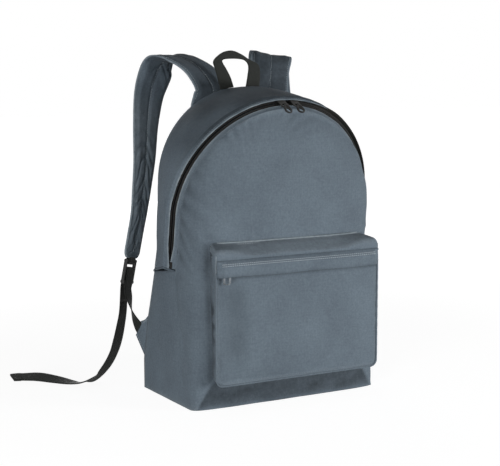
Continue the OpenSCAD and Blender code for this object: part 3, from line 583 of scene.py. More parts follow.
def putMainZip():
    # flat tapes, toothed coils, a rounded lip and fold: each a profile carried along the arch
    u = linspace(-1, 1, 2600) * zipSet["end"]
    run = runLength(besideZip(u, 0, 0))
    for side, label in ((1, "front"), (-1, "rear")):
        w = linspace(side * zipSet["half"], side * zipSet["gap"], 7)
        box = np.stack([np.append(w, w[::-1]), np.repeat([0, -0.8], 7)], -1)
        alongZip("zipTape_" + label, box[::side], 260, ("tapeBlack", "pack", "zip_tape_" + label))
        w, h, a = coilProfile(side, run)
        rings = besideZip(u[:, None], w, h)[:, ::-side]
        putTube("zipCoil_" + label, rings, a, ("coilBlack", "pack", "zip_coil_" + label))
    profile = roundProfile([[-2.45, 3.6], [-2.5, 4.65], [-5.8, 4.2], [-9.2, 3.8], [-10.6, 2.2], [-10.3, 1.0],
                            [-9.3, 1.25], [-8.2, 2.6], [-5.6, 3.2]], 30)
    lip = alongZip("zipLip", profile, 400, ("shellCloth", "pack", "zip_lip"), -2.6, zipSet["flat"],
                   zipSet["drawn"], zipSet["shut"], zipSet["lipSoil"])
    profile = roundProfile([[4.3, 0.6], [6, 0.5], [8.2, 0.75], [10.4, 1.9], [10, 2.6], [7.5, 1.95],
                            [4.8, 1.8], [4.2, 1.2]], 28)
    alongZip("zipFold", profile, 400, ("shellCloth", "pack"), 4.4, shut=-zipSet["shut"])
    # on the right the rear tape stands up between the teeth and the lip, higher below the slider's reach
    low, high = 0.1, 0.965
    u = linspace(low, high, 220)[:, None]
    w, h = roundProfile([[-6.7, 0], [-6.8, 3.2], [-7.0, 5.0], [-8.0, 5.5], [-8.8, 4.8], [-8.7, 2.4],
                         [-8.6, 0]], 24)[::-1].T
    tall = (0.94 + 0.75 * ease(u, 0.715, 0.07)) * ease(u, low, 0.2) * ease(u, high, -0.08)
    putTube("zipTapeEdge", besideZip(u, w, h * tall - 0.3), np.arange(24.0), ("tapeBlack", "pack"))
    return lip


def stitchRow(name, target, route, pitch, size=2.5, thick=0.6, thread="threadGrey", body="pack"):
    # each stitch is a six-sided capsule laid along the route on the nearest point of the target
    at = np.arange(pitch / 2, runLength(route)[-1], pitch)
    ahead = pointsAt(route, at + 0.5) - pointsAt(route, at - 0.5)
    tree = BVHTree.FromObject(target, bpy.context.evaluated_depsgraph_get())
    hits = [tree.find_nearest(Vector(p * mm))[:2] for p in pointsAt(route, at)]
    up = array([hit[1] for hit in hits])
    place = array([hit[0] for hit in hits]) / mm + 0.06 * up
    along = unit(ahead - (ahead * up).sum(-1, keepdims=True) * up)
    steps, girth = array([-0.5, -0.4, 0.4, 0.5]) * size, array([0.3, 1, 1, 0.3])[:, None] * thick / 2
    a, rings = circle(6), len(steps)
    centre = place[:, None] + steps[:, None] * along[:, None]
    aside, up = [np.repeat(way, rings, 0) for way in (cross(up, along), up)]
    x, y = [np.tile(girth * part, (len(at), 1)) for part in (cos(a), sin(a))]
    points = carry(centre.reshape(-1, 3), aside, up, x, y)
    first = rings * len(a) * np.arange(len(at))[:, None]
    faces = (gridFaces(rings, len(a), True) + first[..., None]).reshape(-1, 4)[:, ::-1]
    ring = first + np.arange(len(a))
    caps = [*ring[:, ::-1], *(ring + (rings - 1) * len(a))]
    obj = putMesh(name, points, faces, a * thick / 2, (at[:, None] + steps).reshape(-1, 1), None, caps)
    return dress(obj, thread, body)


zipLip = putMainZip()
stitchRow("lipStitch", zipLip, besideZip(linspace(-0.98, 0.98, 400), -5.4, 5.2), zipSet["stitchPitch"],
          thread="threadDark")
print("main zip")


# front panel and sides: one cloth from the back seam round the front

bodySet = dict(halfWidth=145, halfDepth=78, cornerIn=28, panelEdge=(8.3, 0.5), cloth=1.5, baseCloth=1.4,
               swell=4, gussetSwell=5, backLean=2.445, archRadius=127, archHeight=294, sideSeam=167,
               # the four amounts that end this line and the next are painted shade: in fold troughs, under
               # the pocket, in the groove beside it and over the top of the gusset
               rearIn=1.9, soft=0.8, creases=0.5, pucker=1.5, shortPucker=1.1, foldSoil=0.2, shadeUnder=0.68,
               shadeBeside=0.5, shadeTop=0.55,
               sideLine=([0, 43, 105, 124, 167, 200, 230, 294],  # heights and half widths there
                         [145, 146, 140, 137, 131, 127.5, 127, 127]))


def backY(z):  # depth of the leaning back plane
    return bodySet["halfDepth"] - z * math.tan(math.radians(bodySet["backLean"]))


def sideX(z):  # half width at a height, straight between those of the side line
    return np.interp(z, *bodySet["sideLine"])


def shoulder(v):  # right edge of the front: v 0 floor, 1 zip end, 2 top of the leg, 3 top of the arch
    v = np.asarray(v, float)
    base = array([bodySet["halfWidth"], bodySet["cornerIn"] - bodySet["halfDepth"], 0])
    low = mix(base, besideZip(1, *bodySet["panelEdge"]), v[..., None])
    u = np.where(v <= 2, 1 - 0.25 * (v - 1), 0.75 * (1 - (v - 2) * 0.965))
    return np.where((v <= 1)[..., None], low, besideZip(minimum(u, 1), *bodySet["panelEdge"]))


def frontMid(z):  # depth down the middle: a half sine swells it up to 300, a cosine leans it back above 280
    rise = np.where(z > 280, 5 * (1 - cos(np.radians((z - 280) / 120 * 90))), 0)
    return -bodySet["halfDepth"] - bodySet["swell"] * sin(minimum(z / 300, 1) * pi) + rise


def cornerPower(z):  # power of the superellipse, smaller and so rounder higher up
    return mix(7, 4.2, ease(z, 0, 190)) - 0.8 * ease(z, 200, 120)


def frontPoint(v, s):  # superellipse across the front from the left shoulder (s 0) to the right (s pi)
    x, y, z = np.moveaxis(shoulder(v), -1, 0)
    q = cornerPower(z)
    r = (abs(cos(s)) ** q + abs(sin(s)) ** q) ** (-1 / q)
    return xyz(-x * r * cos(s), mix(y, minimum(frontMid(z), y - 1), r * sin(s)), z)


shoulderTable = shoulder(linspace(0, 3, 3001))


def frontY(x, z):  # depth of the front at x and z
    wide, near = [np.interp(z, shoulderTable[:, 2], shoulderTable[:, i]) for i in (0, 1)]
    q = cornerPower(z)
    share = maximum(0, 1 - minimum(1, abs(x) / wide) ** q) ** (1 / q)
    return mix(near, minimum(frontMid(z), near - 1), share)


def sidePoint(v, k):  # right side from the back seam (k 0) to the shoulder (k 1)
    z = v * bodySet["sideSeam"]
    rear = xyz(sideX(z), backY(z) - bodySet["rearIn"], z)
    return mix(rear, shoulder(v), k[..., None]) + (3 * sin(pi * k) * ease(v))[..., None] * sideways


def nearestOnZip(points):  # distance to the panel's edge at the zip, and the length along it to that place
    edge = besideZip(linspace(-1, 1, 240), *bodySet["panelEdge"])
    far = ((points[:, :, None] - edge) ** 2).sum(-1)
    at = clip(far.argmin(-1), 1, len(edge) - 2)
    before, here, after = [np.take_along_axis(far, (at + step)[..., None], -1)[..., 0] for step in (-1, 0, 1)]
    shift = clip((before - after) / (2 * (before - 2 * here + after)), -1, 1)  # lowest point of the parabola
    return np.sqrt(far.min(-1)), np.interp(at + shift, np.arange(len(edge)), runLength(edge))


def puckers(near, at, slant, step, wander, patches, fade, start):
    # slanting sine waves off the zip that wander, come and go along it and fade away from it
    wave = sin(2 * pi * (at + slant * near) / step + 2.6 * ripple(at, near, *wander))
    return wave * clip(0.3 + 0.9 * ripple(at, 0, *patches), 0, 1) * exp(-near / fade) * ease(near, 0, start)


def frontCloth(v, s):  # the front with its waves, its wear and painted highlight, and its painted shade
    points = frontPoint(v, s)
    right, z = points[..., 0], points[..., 2]
    x = gridLengths(points)[0]
    near, at = nearestOnZip(points)
    long = puckers(near, at, 0.5, 27, (90, 3), (110, 20), 20, 5) * (1 - 0.75 * ease(right, 0, 90))
    short = puckers(near, at, 0.4, 16, (60, 18), (70, 19), 15, 4) * ease(right, 40, -90)
    fold = bodySet["pucker"] * long + bodySet["shortPucker"] * short
    # soft waves all over, puckers off the zip, slack folds towards the base and above the pocket
    push = bodySet["soft"] * ripple(x, z, 110, 1) + bodySet["creases"] * ripple(x, z, 42, 2) + fold
    push += 0.9 * exp(-z / 38) * ripple(x + 0.5 * z, z * 0.4, 52, 4)
    above = exp(-abs(z - 229) / 7) * ease(z, 220, 5)
    push += bodySet["pucker"] * 0.7 * above * sin(2 * pi * (x + 0.6 * z) / 31 + 2 * ripple(x, z, 80, 16))
    push *= ease(near, 0, 4) * ease(z, -2, 8)
    push *= np.where(v <= 1, ease(minimum(s, pi - s), 0, 0.12), 1)
    # lighter along the zip and the floor: wear and painted highlight on the folded edges; darker a little off
    # the zip and in the troughs of the puckers: painted shade
    wearAndLight = clip(exp(-near / 2.2) + exp(-z / 3), 0, 1) * 0.8
    wearAndLight = wearAndLight - 0.2 * exp(-near / 34) * ease(near, 4, 6) - bodySet["foldSoil"] * clip(-fold, -0.4, 1.2)
    points = pushed(points, push)
    # painted shade under the pocket and painted shadow in the groove along its sides
    aside = abs(points[..., 0])
    corner = mix(142, 119, clip(z / 37, 0, 1))  # slants from the base corner to the pocket corner
    under = ease(z, 40, -7) * ease(aside, corner, -5) * (0.95 + 0.08 * ripple(x, z * 2, 45, 8))
    blobs = clip(0.7 + 0.3 * ripple(z, 0, 60, 9), 0, 1)
    beside = bell(aside, 120.5, 4.5) * ease(z, 34, 8) * ease(z, 222, -8) * blobs
    return points, wearAndLight - clip(bodySet["shadeUnder"] * under + bodySet["shadeBeside"] * beside, 0, 1)


def sideCloth(v, k):  # the same for the left side
    points = sidePoint(minimum(v, 1), k) * [-1, 1, 1]
    y, z = points[..., 1], points[..., 2]
    push = 0.7 * ripple(y, z, 95, 5) + 0.3 * ripple(y, z, 38, 6)
    push += 0.8 * exp(-z / 40) * ripple(y, z * 0.4, 50, 7)
    push = np.where(v <= 1, push * ease(k, 0, 0.08) * ease(k, 1, -0.15) * ease(z, -2, 8), 0)
    # lighter along the floor and the back seam: wear and painted highlight on the folded edges
    wearAndLight = clip(exp(-z / 3) + exp(-k * 90 / 2.5), 0, 1) * 0.8
    return pushed(points, push), wearAndLight


def putFrontPanel():  # rows from the floor up; columns are the left side, the front and the right side
    lowRows, sideCols = 70, 36
    v = concatenate([linspace(0, 1, lowRows + 1), linspace(1, 2, 31)[1:], linspace(2, 3, 71)[1:]])[:, None]
    front, wearAndLight = frontCloth(v, linspace(0, pi, 181)[None])
    side, sideWorn = sideCloth(v, linspace(0, 1, sideCols + 1)[None, :-1])
    points = concatenate([side, front, (side * [-1, 1, 1])[:, ::-1]], 1)
    keep = np.ones((len(v) - 1, points.shape[1] - 1), bool)
    keep[lowRows:, :sideCols] = keep[lowRows:, -sideCols:] = False  # the sides end at the zip's ends
    seam = concatenate([sideWorn, wearAndLight, sideWorn[:, ::-1]], 1)
    return putSheet("frontPanel", "front_panel", points, bodySet["cloth"], seam, keep)


frontPanel = putFrontPanel()
stitchRow("panelStitch", frontPanel, besideZip(linspace(-0.985, 0.985, 400), 10.8, 3.4),
          zipSet["stitchPitch"], 2.6, 0.7, "threadDark")
print("front panel")


# top gusset between zip and back

def gussetPoint(u, k):  # straight from the back edge (k 0) to the zip (k 1), swollen by a sine between them
    turn, leg = archPart(u)
    r, top = bodySet["archRadius"], bodySet["archHeight"]
    z = np.where(leg > 0, mix(top, bodySet["sideSeam"] + 1.2, leg), top + r * cos(turn))
    x = np.where(leg > 0, np.sign(u) * sideX(z), r * sin(turn))
    rear = xyz(x, backY(z) - bodySet["rearIn"], z)
    edge = besideZip(u, -zipSet["half"] - 1.6, 0.5)
    edge[..., 2] += abs(u) >= 1
    out = unit(xyz(edge[..., 0], 0, maximum(edge[..., 2] - 250, 0)))
    return mix(rear, edge, k[..., None]) + bodySet["gussetSwell"] * sin(pi * k)[..., None] * out


def putGusset():
    # rows from the zip to the back edge, pushed by seeded waves that fade out at its edges
    u, k = np.broadcast_arrays(linspace(-1, 1, 261), linspace(1, 0, 41)[:, None])
    points = gussetPoint(u, k)
    across, along = gridLengths(points)
    push = 0.8 * ripple(across, along, 105, 11) + 0.3 * ripple(across, along, 40, 12)
    push *= ease(k, 0, 0.12) * ease(k, 1, -0.12) * ease(abs(u), 1, -0.03)
    points = pushed(points, push)
    # lighter at the back edge and a little at the zip: wear and painted highlight; darker over the top of the
    # arch: painted shade
    seam = clip(exp(-k * 120 / 2.5) + 0.2 * exp(-(1 - k) * 120 / 2.5), 0, 1) * 0.8
    dusk = ease(k, 0.03, 0.12) * ease(k, 1.04, -0.06) * ease(abs(u), 0.62, -0.25)
    seam = seam - bodySet["shadeTop"] * dusk * (0.85 + 0.25 * ripple(across, along, 70, 15))
    putSheet("topGusset", "top_gusset", points, bodySet["cloth"], seam)


def putBead(name, route, radius, tone):  # round seam bead along a route, facing outwards from the middle
    line = evenly(route, 2)
    ahead = unit(np.gradient(line, axis=0))
    aside = unit(cross(ahead, unit(line * [1, 1, 0])))
    a = circle(12)
    rings = carry(line, aside, cross(aside, ahead), radius * cos(a), radius * sin(a))
    putTube(name, rings, a * radius, ("shellCloth", "pack"), tone)


putGusset()
for sign, label in ((-1, "left"), (1, "right")):
    foot = gussetPoint(np.full(30, float(sign)), linspace(0, 1, 30)) - [0, 0, 1.6]
    foot = concatenate([foot, besideZip(sign, linspace(-6, 9, 8), 0.6) - [0, 0, 1.2]])
    # the bead is a little darker: painted shade in the slit it covers
    putBead("sideSeam_" + label, foot, 1.5, -0.3)
print("gusset")


# front pocket

pocketSet = dict(half=127, low=36, faceY=-105, faceTop=188, flapTop=203, rise=221, round=10, crown=3,
                 cloth=1.5, flapCloth=1.6, zipY=-103.15, zipZ=193, flapY=-111.45, flapHeight=23, step=4.5,
                 # the band's amount and place, and the lid, flap and wall amounts on the next line, are
                 # painted shade and light: a shaded band on the face, light over the lid, the flap's shadow,
                 # the wall's shade
                 pucker=1.3, tuck=9, curl=5, curlFrom=116, band=0.24, bandX=-95, lidTurn=4, lidSkirt=6,
                 lidWorn=0.22, flapShade=0.42, wallSoil=0.7,
                 topDepth=(0, 0.35, 0.62, 0.87, 1),  # places on the lid as shares of its depth, and heights
                 endTop=(221, 219.5, 218, 216, 211), midTop=(221, 217.5, 213.5, 209.5, 206.5))


def pocketOutline(inset, top):  # down the left, round the bottom corners and up the right
    a, b, r = pocketSet["half"] - inset, pocketSet["low"] + inset, pocketSet["round"] - inset / 2
    t = linspace(0, pi / 2, 16)
    left = concatenate([[[-a, 0, top]], xyz(-a + r - r * cos(t), 0, b + r - r * sin(t))])
    return evenly(concatenate([left, left[::-1] * [-1, 1, 1]]), 2.2)


def pocketCrown(x, z):  # forward swell: parabola across, sine up, with a flatter strip along the left edge
    up = sin(clip((z - pocketSet["low"]) / (pocketSet["faceTop"] - pocketSet["low"]), 0, 1) * pi)
    swell = pocketSet["crown"] * maximum(0, 1 - (x / pocketSet["half"]) ** 2) * up
    return swell - pocketSet["step"] * (1 - ease(x, -100, 26)) * ease(z, 40, 14)


def putPocketFace():
    # rows climb the face, as wide as its outline; crown, waves and puckers fade out at its edges
    r, low = pocketSet["round"], pocketSet["low"]
    z = mix(low + 2.2, pocketSet["faceTop"] - 0.4, linspace(0, 1, 90) ** 1.25)[:, None]
    h = z - 2 - low
    inner = pocketSet["half"] - 1.9 - np.where(h < r, r - np.sqrt(maximum(0, r * r - (r - h) ** 2)), 0)
    x = inner * linspace(-1, 1, 141)
    edge = minimum(inner - abs(x), h)
    y = pocketSet["faceY"] - pocketCrown(x, z) * ease(edge, 0, 10)
    y = y - (0.6 * ripple(x, z, 95, 21) + 0.35 * ripple(x, z, 36, 22)) * ease(edge, 0, 14)
    wave = sin(2 * pi * (z - x * 0.3) / 23 + ripple(x, z, 80, 23))
    y = y - 0.7 * exp(-edge / 11) * wave * ease(edge, 0, 5)
    # painted shade of a shallow dent: a soft upright band left of the middle
    band = bell(x, pocketSet["bandX"], 16) * ease(z, 50, 40) * ease(z, 176, -25)
    shaded = ease(z, 174, 6)  # painted shadow under the flap
    # lighter at the edges: wear and painted highlight; darker below the flap: painted shadow
    seam = clip(exp(-edge / 2.5), 0, 1) * 0.3 * (1 - shaded) - pocketSet["flapShade"] * shaded
    seam = seam - pocketSet["band"] * band * (0.9 + 0.1 * ripple(x, z, 60, 27))
    # painted shade: a little darker inside the edges of the left part
    seam = seam - 0.16 * exp(-edge / 22) * ease(edge, 3, 4) * ease(x, 20, -60)
    return putSheet("pocketFace", "pocket_face", xyz(x, y, z), pocketSet["cloth"], seam)


def putPocketWall():
    # the outline carried from the panel to the face, drawn in at the panel, with sine puckers; then its welt
    line = pocketOutline(0, pocketSet["flapTop"])
    x, z, run = line[:, 0], line[:, 2], runLength(line)
    k = linspace(0, 1, 25)[:, None]
    top = np.interp(k, pocketSet["topDepth"], pocketSet["endTop"]) - 2.6
    height = z + (top - pocketSet["flapTop"]) * ease(z, 185, 18)
    x = x * (1 - (1 - k) * pocketSet["tuck"] / pocketSet["half"])
    points = xyz(x, mix(frontY(x, height) - 0.6, pocketSet["faceY"], k), height)
    wave = sin(2 * pi * run / 29 + 2.2 * ripple(run, 0, 110, 24))
    push = pocketSet["pucker"] * wave * (1 - 0.4 * k) + 0.5 * ripple(run, k * 30, 18, 25)
    middle = run[-1] / 2
    push = push * sin(pi * k) * ease(abs(run - middle), middle, -12)
    points = pushed(points, push)
    patches = clip(0.75 + 0.35 * ripple(height, 0, 70, 28), 0, 1)
    # lighter at the face's edge: wear and painted highlight; darker towards the panel: painted shade in the
    # groove
    seam = 0.9 * exp(-(1 - k) * 27 / 2)
    seam = seam - pocketSet["wallSoil"] * patches * ease(k, 0.8, -0.5) * ease(height, 40, 12)
    putSheet("pocketGusset", "pocket_gusset", points, pocketSet["cloth"], seam)

    welt = evenly(pocketOutline(0.9, 187) + [0, pocketSet["faceY"] - 0.25, 0], 2)
    ahead = unit(np.gradient(welt, axis=0))
    aside = cross(ahead, [0, -1.0, 0])
    a = circle(12)
    wobble = 1 + 0.08 * sin(runLength(welt) / 2.1)[:, None]
    rings = carry(welt, aside, cross(aside, ahead), 1.25 * wobble * cos(a), wobble * sin(a))
    # the welt is slightly lighter: wear and painted highlight
    putTube("pocketWelt", rings, a * 1.2, ("shellCloth", "pack"), 0.1)


def putPocketLid():
    # rows climb from behind the flap to the panel seam, then both ends turn down over the side walls
    turn, y = pocketSet["lidTurn"], pocketSet["faceY"]
    a = pocketSet["half"] + 0.4 - turn
    x = a * linspace(-1, 1, 151)
    rows = [xyz(x, y, z) for z in (198.4, pocketSet["flapTop"])]
    ends = ease(abs(x), 62, 50)  # puffed up at both ends, sloping between them
    for k, z, middle in list(zip(pocketSet["topDepth"], pocketSet["endTop"], pocketSet["midTop"]))[::-1]:
        root = x * (1 - (1 - k) * pocketSet["tuck"] / a)
        rows.append(xyz(root, mix(frontY(root, pocketSet["rise"]) - 0.8, y, k), mix(middle, z, ends)))
    upper, last = rows[-1], len(rows) - 1
    t = linspace(0, last, 12 * last + 1)[:, None]
    points = curve(np.reshape(rows, (last + 1, -1)), t[:, 0]).reshape(len(t), -1, 3)
    hold = ease(abs(x / a), 1, -0.08) * ease(t, 1.2, 1.5) * ease(t, last, -0.8)
    push = 0.5 * hold * ripple(x, t * 7, 75, 26)
    points = pushed(points, push)
    inward = unit(gridNormals(points)[:, [0, -1]] * [0, -1, -1])  # straight into the pocket at each end
    bend = np.radians(linspace(15, 90, 6))
    aside = np.append(turn * sin(bend), np.full(4, turn))[:, None]
    sunk = np.append(turn * (1 - cos(bend)), turn + linspace(1.5, pocketSet["lidSkirt"], 4))[:, None]
    left = (points[:, :1] - aside * sideways + sunk * inward[:, :1])[:, ::-1]
    right = points[:, -1:] + aside * sideways + sunk * inward[:, 1:]
    points = concatenate([left, points, right], 1)
    # lighter along the panel seam: wear and painted highlight; lighter over the lid, most where it faces up:
    # painted light
    flat = clip(gridNormals(points)[..., 2], 0, 1)
    seam = 1.8 * exp(4 * (t - last)) + pocketSet["lidWorn"] * (0.6 + 1.6 * flat) * ease(t, 1, 1.5)
    lid = putSheet("pocketTop", "pocket_top", points, pocketSet["cloth"], seam)
    # the seam bead is lighter: wear and painted highlight
    putBead("lidSeam", upper[3:-3] + [0, -1.1, 0.8], 0.9, 1.5)
    stitchRow("topSeamStitch", lid, upper[3:-3] - [0, 3, 2.2], 3.4)


def putFlap():
    # a side profile carried straight across, loose at its lower edge and curled back at both ends
    top, y, tall = pocketSet["flapTop"], pocketSet["flapY"], pocketSet["flapHeight"]
    x, k = (pocketSet["half"] - 1) * linspace(-1, 1, 141), linspace(0, 1, 41)[:, None]
    profile = [[y, top - tall], [y, top - 12], [y + 0.8, top - 5], [pocketSet["faceY"] - 1.95, top - 0.5]]
    deep, high = curve(profile, 3 * k[:, 0]).T[..., None]
    loose = 0.7 * ease(k, 0.75, -0.5) * (1 + ripple(x, k * 20, 95, 31)) + 0.25 * exp(-k * tall / 3)
    curl = pocketSet["curl"] * ease(abs(x), pocketSet["curlFrom"], 11) * ease(k, 0.9, -0.25)
    points = xyz(x, deep - loose + curl, high + (1 - k) * 0.7 * ripple(x, 0, 120, 32))
    # painted shadow along the flap's lower edge
    seam = -0.55 * exp(-k * tall / 1.3)
    flap = putSheet("pocketFlap", "pocket_flap", points, pocketSet["flapCloth"], seam, body="pocket_flap")
    for name, drop in (("flapStitchHigh", 3.2), ("flapStitchLow", 6.6)):
        stitchRow(name, flap, xyz(x, y - 3, top - drop)[2:-2], 3.2, 2.4, 0.9, body="pocket_flap")


def putPocketZip():
    # straight tapes and toothed coils, one of each below and above the zip's line
    reach, y, z = pocketSet["half"] - 6, pocketSet["zipY"], pocketSet["zipZ"]
    x = linspace(-reach, reach, 700)
    outer, inner = zipSet["half"], zipSet["gap"]
    for side, label in ((-1, "low"), (1, "high")):
        centre = xyz(x[::10], y + 0.4, z + side * (outer + inner) / 2)
        look = "tapeBlack", "pack", "pocket_tape_" + label
        putWeb("pocketTape_" + label, centre, [0, 0, 1], [0, -1, 0], (outer - inner) / 2, 0.8, look)
        w, h, a = coilProfile(side, x - x[0])
        rings = xyz(x[:, None], y - h, z + w)[:, ::side]
        putTube("pocketCoil_" + label, rings, a, ("coilBlack", "pack", "pocket_coil_" + label))


pocketFace = putPocketFace()
putPocketWall()
putPocketLid()
stitchRow("pocketStitch", pocketFace, pocketOutline(5.2, 184) + [0, pocketSet["faceY"] - 2, 0], 3.4, 2.3, 0.5,
          "threadDark")
putFlap()
putPocketZip()
print("pocket")


# back pad, base, strap anchor, haul loop and wings

backSet = dict(thick=9.3, edge=1.5, channels=(-62, 0, 62), crossings=(34, 345), channelDepth=2.2,
               channelWidth=4.5, roll=2.0)


def putBack():
    # rows climb the back plane, as wide as the side line, then a circle; the face sinks at seams and channels
    r, top, (first, last) = bodySet["archRadius"], bodySet["archHeight"], backSet["crossings"]
    arc, low = linspace(0, np.radians(87), 50)[1:], linspace(0.6, top, 101)
    z = np.append(low, top + r * sin(arc))[:, None]
    wide = np.append(sideX(low), r * cos(arc))[:, None]
    k = linspace(-1, 1, 121)
    x = wide * np.sign(k) * abs(k) ** 0.85
    inside = np.where(z < top, wide - abs(x), r - np.hypot(x, maximum(z - top, 0)))
    inside = minimum(inside, z)
    upright = sum(bell(x, line, backSet["channelWidth"]) for line in backSet["channels"])
    level = sum(bell(z, row, backSet["channelWidth"]) for row in backSet["crossings"])
    quilt = upright * ease(z, first, 10) * ease(z, last, -10) + level * ease(abs(x), 108, -8)
    sink = backSet["roll"] * exp(-inside / 5) + backSet["channelDepth"] * quilt
    sink = sink + 0.35 * (1 + ripple(x, z, 46, 41)) * ease(inside, 0, 10)
    deep = mix(backSet["edge"], backSet["thick"], ease(inside, 6, 8))
    outer = xyz(x, backY(z) - sink + 0.2, z)
    inner = xyz(x * (1 - 0.2 / maximum(wide, 1)), backY(z) - maximum(deep, sink + 0.6), z)
    look = "shellCloth", "pack", "back_panel", "back_foam", "back_lining"
    pad = putTube("backPad", np.append(outer[:, ::-1], inner, 1), np.append(x[:, ::-1], x, 1), look)
    up, across = linspace(40, 339, 60), linspace(-104, 104, 60)
    for i, line in enumerate(backSet["channels"]):
        stitchRow(f"backStitch_{i}", pad, xyz(line, backY(up) + 1, up), 3.6)
    for i, row in enumerate(backSet["crossings"]):
        stitchRow(f"backStitchAcross_{i}", pad, xyz(across, backY(row) + 1, row), 3.6)


def putBase():
    # rows from the front line of the base to its rear edge, a little higher round its border
    s, inset, wide = linspace(0, pi, 121), 1.9, bodySet["halfWidth"]
    front = frontPoint(np.zeros_like(s), s)
    x, near = front[:, 0] * (1 - inset / wide), minimum(front[:, 1], -50) + inset
    k = linspace(0, 1, 41)[:, None]
    z = 1.0 - 0.9 * ease(minimum(wide - abs(x), 60 * minimum(k, 1 - k)), 0, 14)
    points = xyz(x, mix(near, bodySet["halfDepth"] - 2, k), z)[:, ::-1]
    putSheet("basePanel", "base_panel", points, bodySet["baseCloth"])


anchorSet = dict(height=376, half=86, width=20, thick=1.9, off=1.6)


def putAnchor():
    # webbing strip over the strap ends, sewn to the back with two rows
    lean = math.radians(bodySet["backLean"])
    up, out = array([0, -math.sin(lean), math.cos(lean)]), array([0, math.cos(lean), math.sin(lean)])
    middle = [0, bodySet["halfDepth"], 0] + anchorSet["height"] * up + anchorSet["off"] * out
    centre = middle + linspace(-anchorSet["half"], anchorSet["half"], 90)[:, None] * sideways
    half, look = anchorSet["width"] / 2, ("webBlack", "pack", "strap_anchor")
    strip = putWeb("strapAnchor", centre, up, cross(sideways, up), half, anchorSet["thick"], look)
    for name, shift in (("anchorStitchHigh", 7), ("anchorStitchLow", -7)):
        stitchRow(name, strip, centre[3:-3] + shift * up + 3 * out, 3.2)


haulSet = dict(
    inner=[[-9, 421.1], [-14, 435], [-21, 447], [-26, 454], [-27.5, 458.5], [-22, 460.5], [-8, 461], [4, 460],
           [11, 457], [14.5, 450], [13, 437], [10, 421.1]],
    outer=[[-31, 418], [-36.5, 438], [-40.5, 450], [-42, 457], [-37, 463.5], [-25, 470.8], [-11, 472.5],
           [3, 467.5], [14.5, 461], [31, 452.5], [34, 438], [32, 417.9]], y=59)


def putHaulLoop():
    # a strip between an inner and an outer edge line, thicker where it is folded double at the grip
    lines = [np.insert(array(haulSet[edge], float), 1, haulSet["y"], 1) for edge in ("inner", "outer")]
    near, far = [curve(line, linspace(0, len(line) - 1, 150)) for line in lines]
    half = np.linalg.norm(far - near, axis=1) / 2
    thick = 2 * mix(0.9, 1.7, ease(near[:, 2], 440, 18))
    look = "webBlack", "haul_loop", "haul_loop"
    putWeb("haulLoop", (near + far) / 2, unit(far - near), [0, -1, 0], half, thick, look)


wingSet = dict(low=([-148.4, 96, 72], [-143, backY(43) + 0.5, 43]), thick=4.2,
               high=([-144.8, 82, 91], [-137, backY(105) + 0.5, 105]))  # from the webbing to the back seam


def putWings():
    # a four-cornered tab between the lower back seam and the webbing, bulged by a sine each way
    i, j = linspace(0, 1, 31)[:, None, None], linspace(0, 1, 41)[:, None]
    low, high = [mix(*array(wingSet[edge]), j) for edge in ("low", "high")]
    tab = mix(low, high, i)
    tab = tab + 0.5 * sin(pi * i) * sin(pi * j) * gridNormals(tab)
    for label, p in (("left", tab), ("right", tab[:, ::-1] * [-1, 1, 1])):
        wing = putSheet("wing_" + label, "wing_" + label, p, wingSet["thick"])
        for part, row in enumerate((3, -4)):
            stitchRow(f"wingStitch_{label}_{part}", wing, p[row, 2:-2] + 1.5 * gridNormals(p)[15, 20], 3.2)


putBack()
putBase()
putAnchor()
putHaulLoop()
putWings()
print("back, base, haul loop, wings")


# shoulder straps: padded, with a thin sewn edge and a sewn line down the middle

padSet = dict(top=64, end=42, middle=4.1, edge=1.7, groove=1.5, crease=1.1, creaseStep=27, round=11,
              # the three amounts on this line: painted shade in creases and the middle groove, painted shade
              # on the upper strap, painted light on the lower inner face
              shadeAmount=0.12, topSoil=dict(left=0.52, right=0.66), innerWorn=0.5)


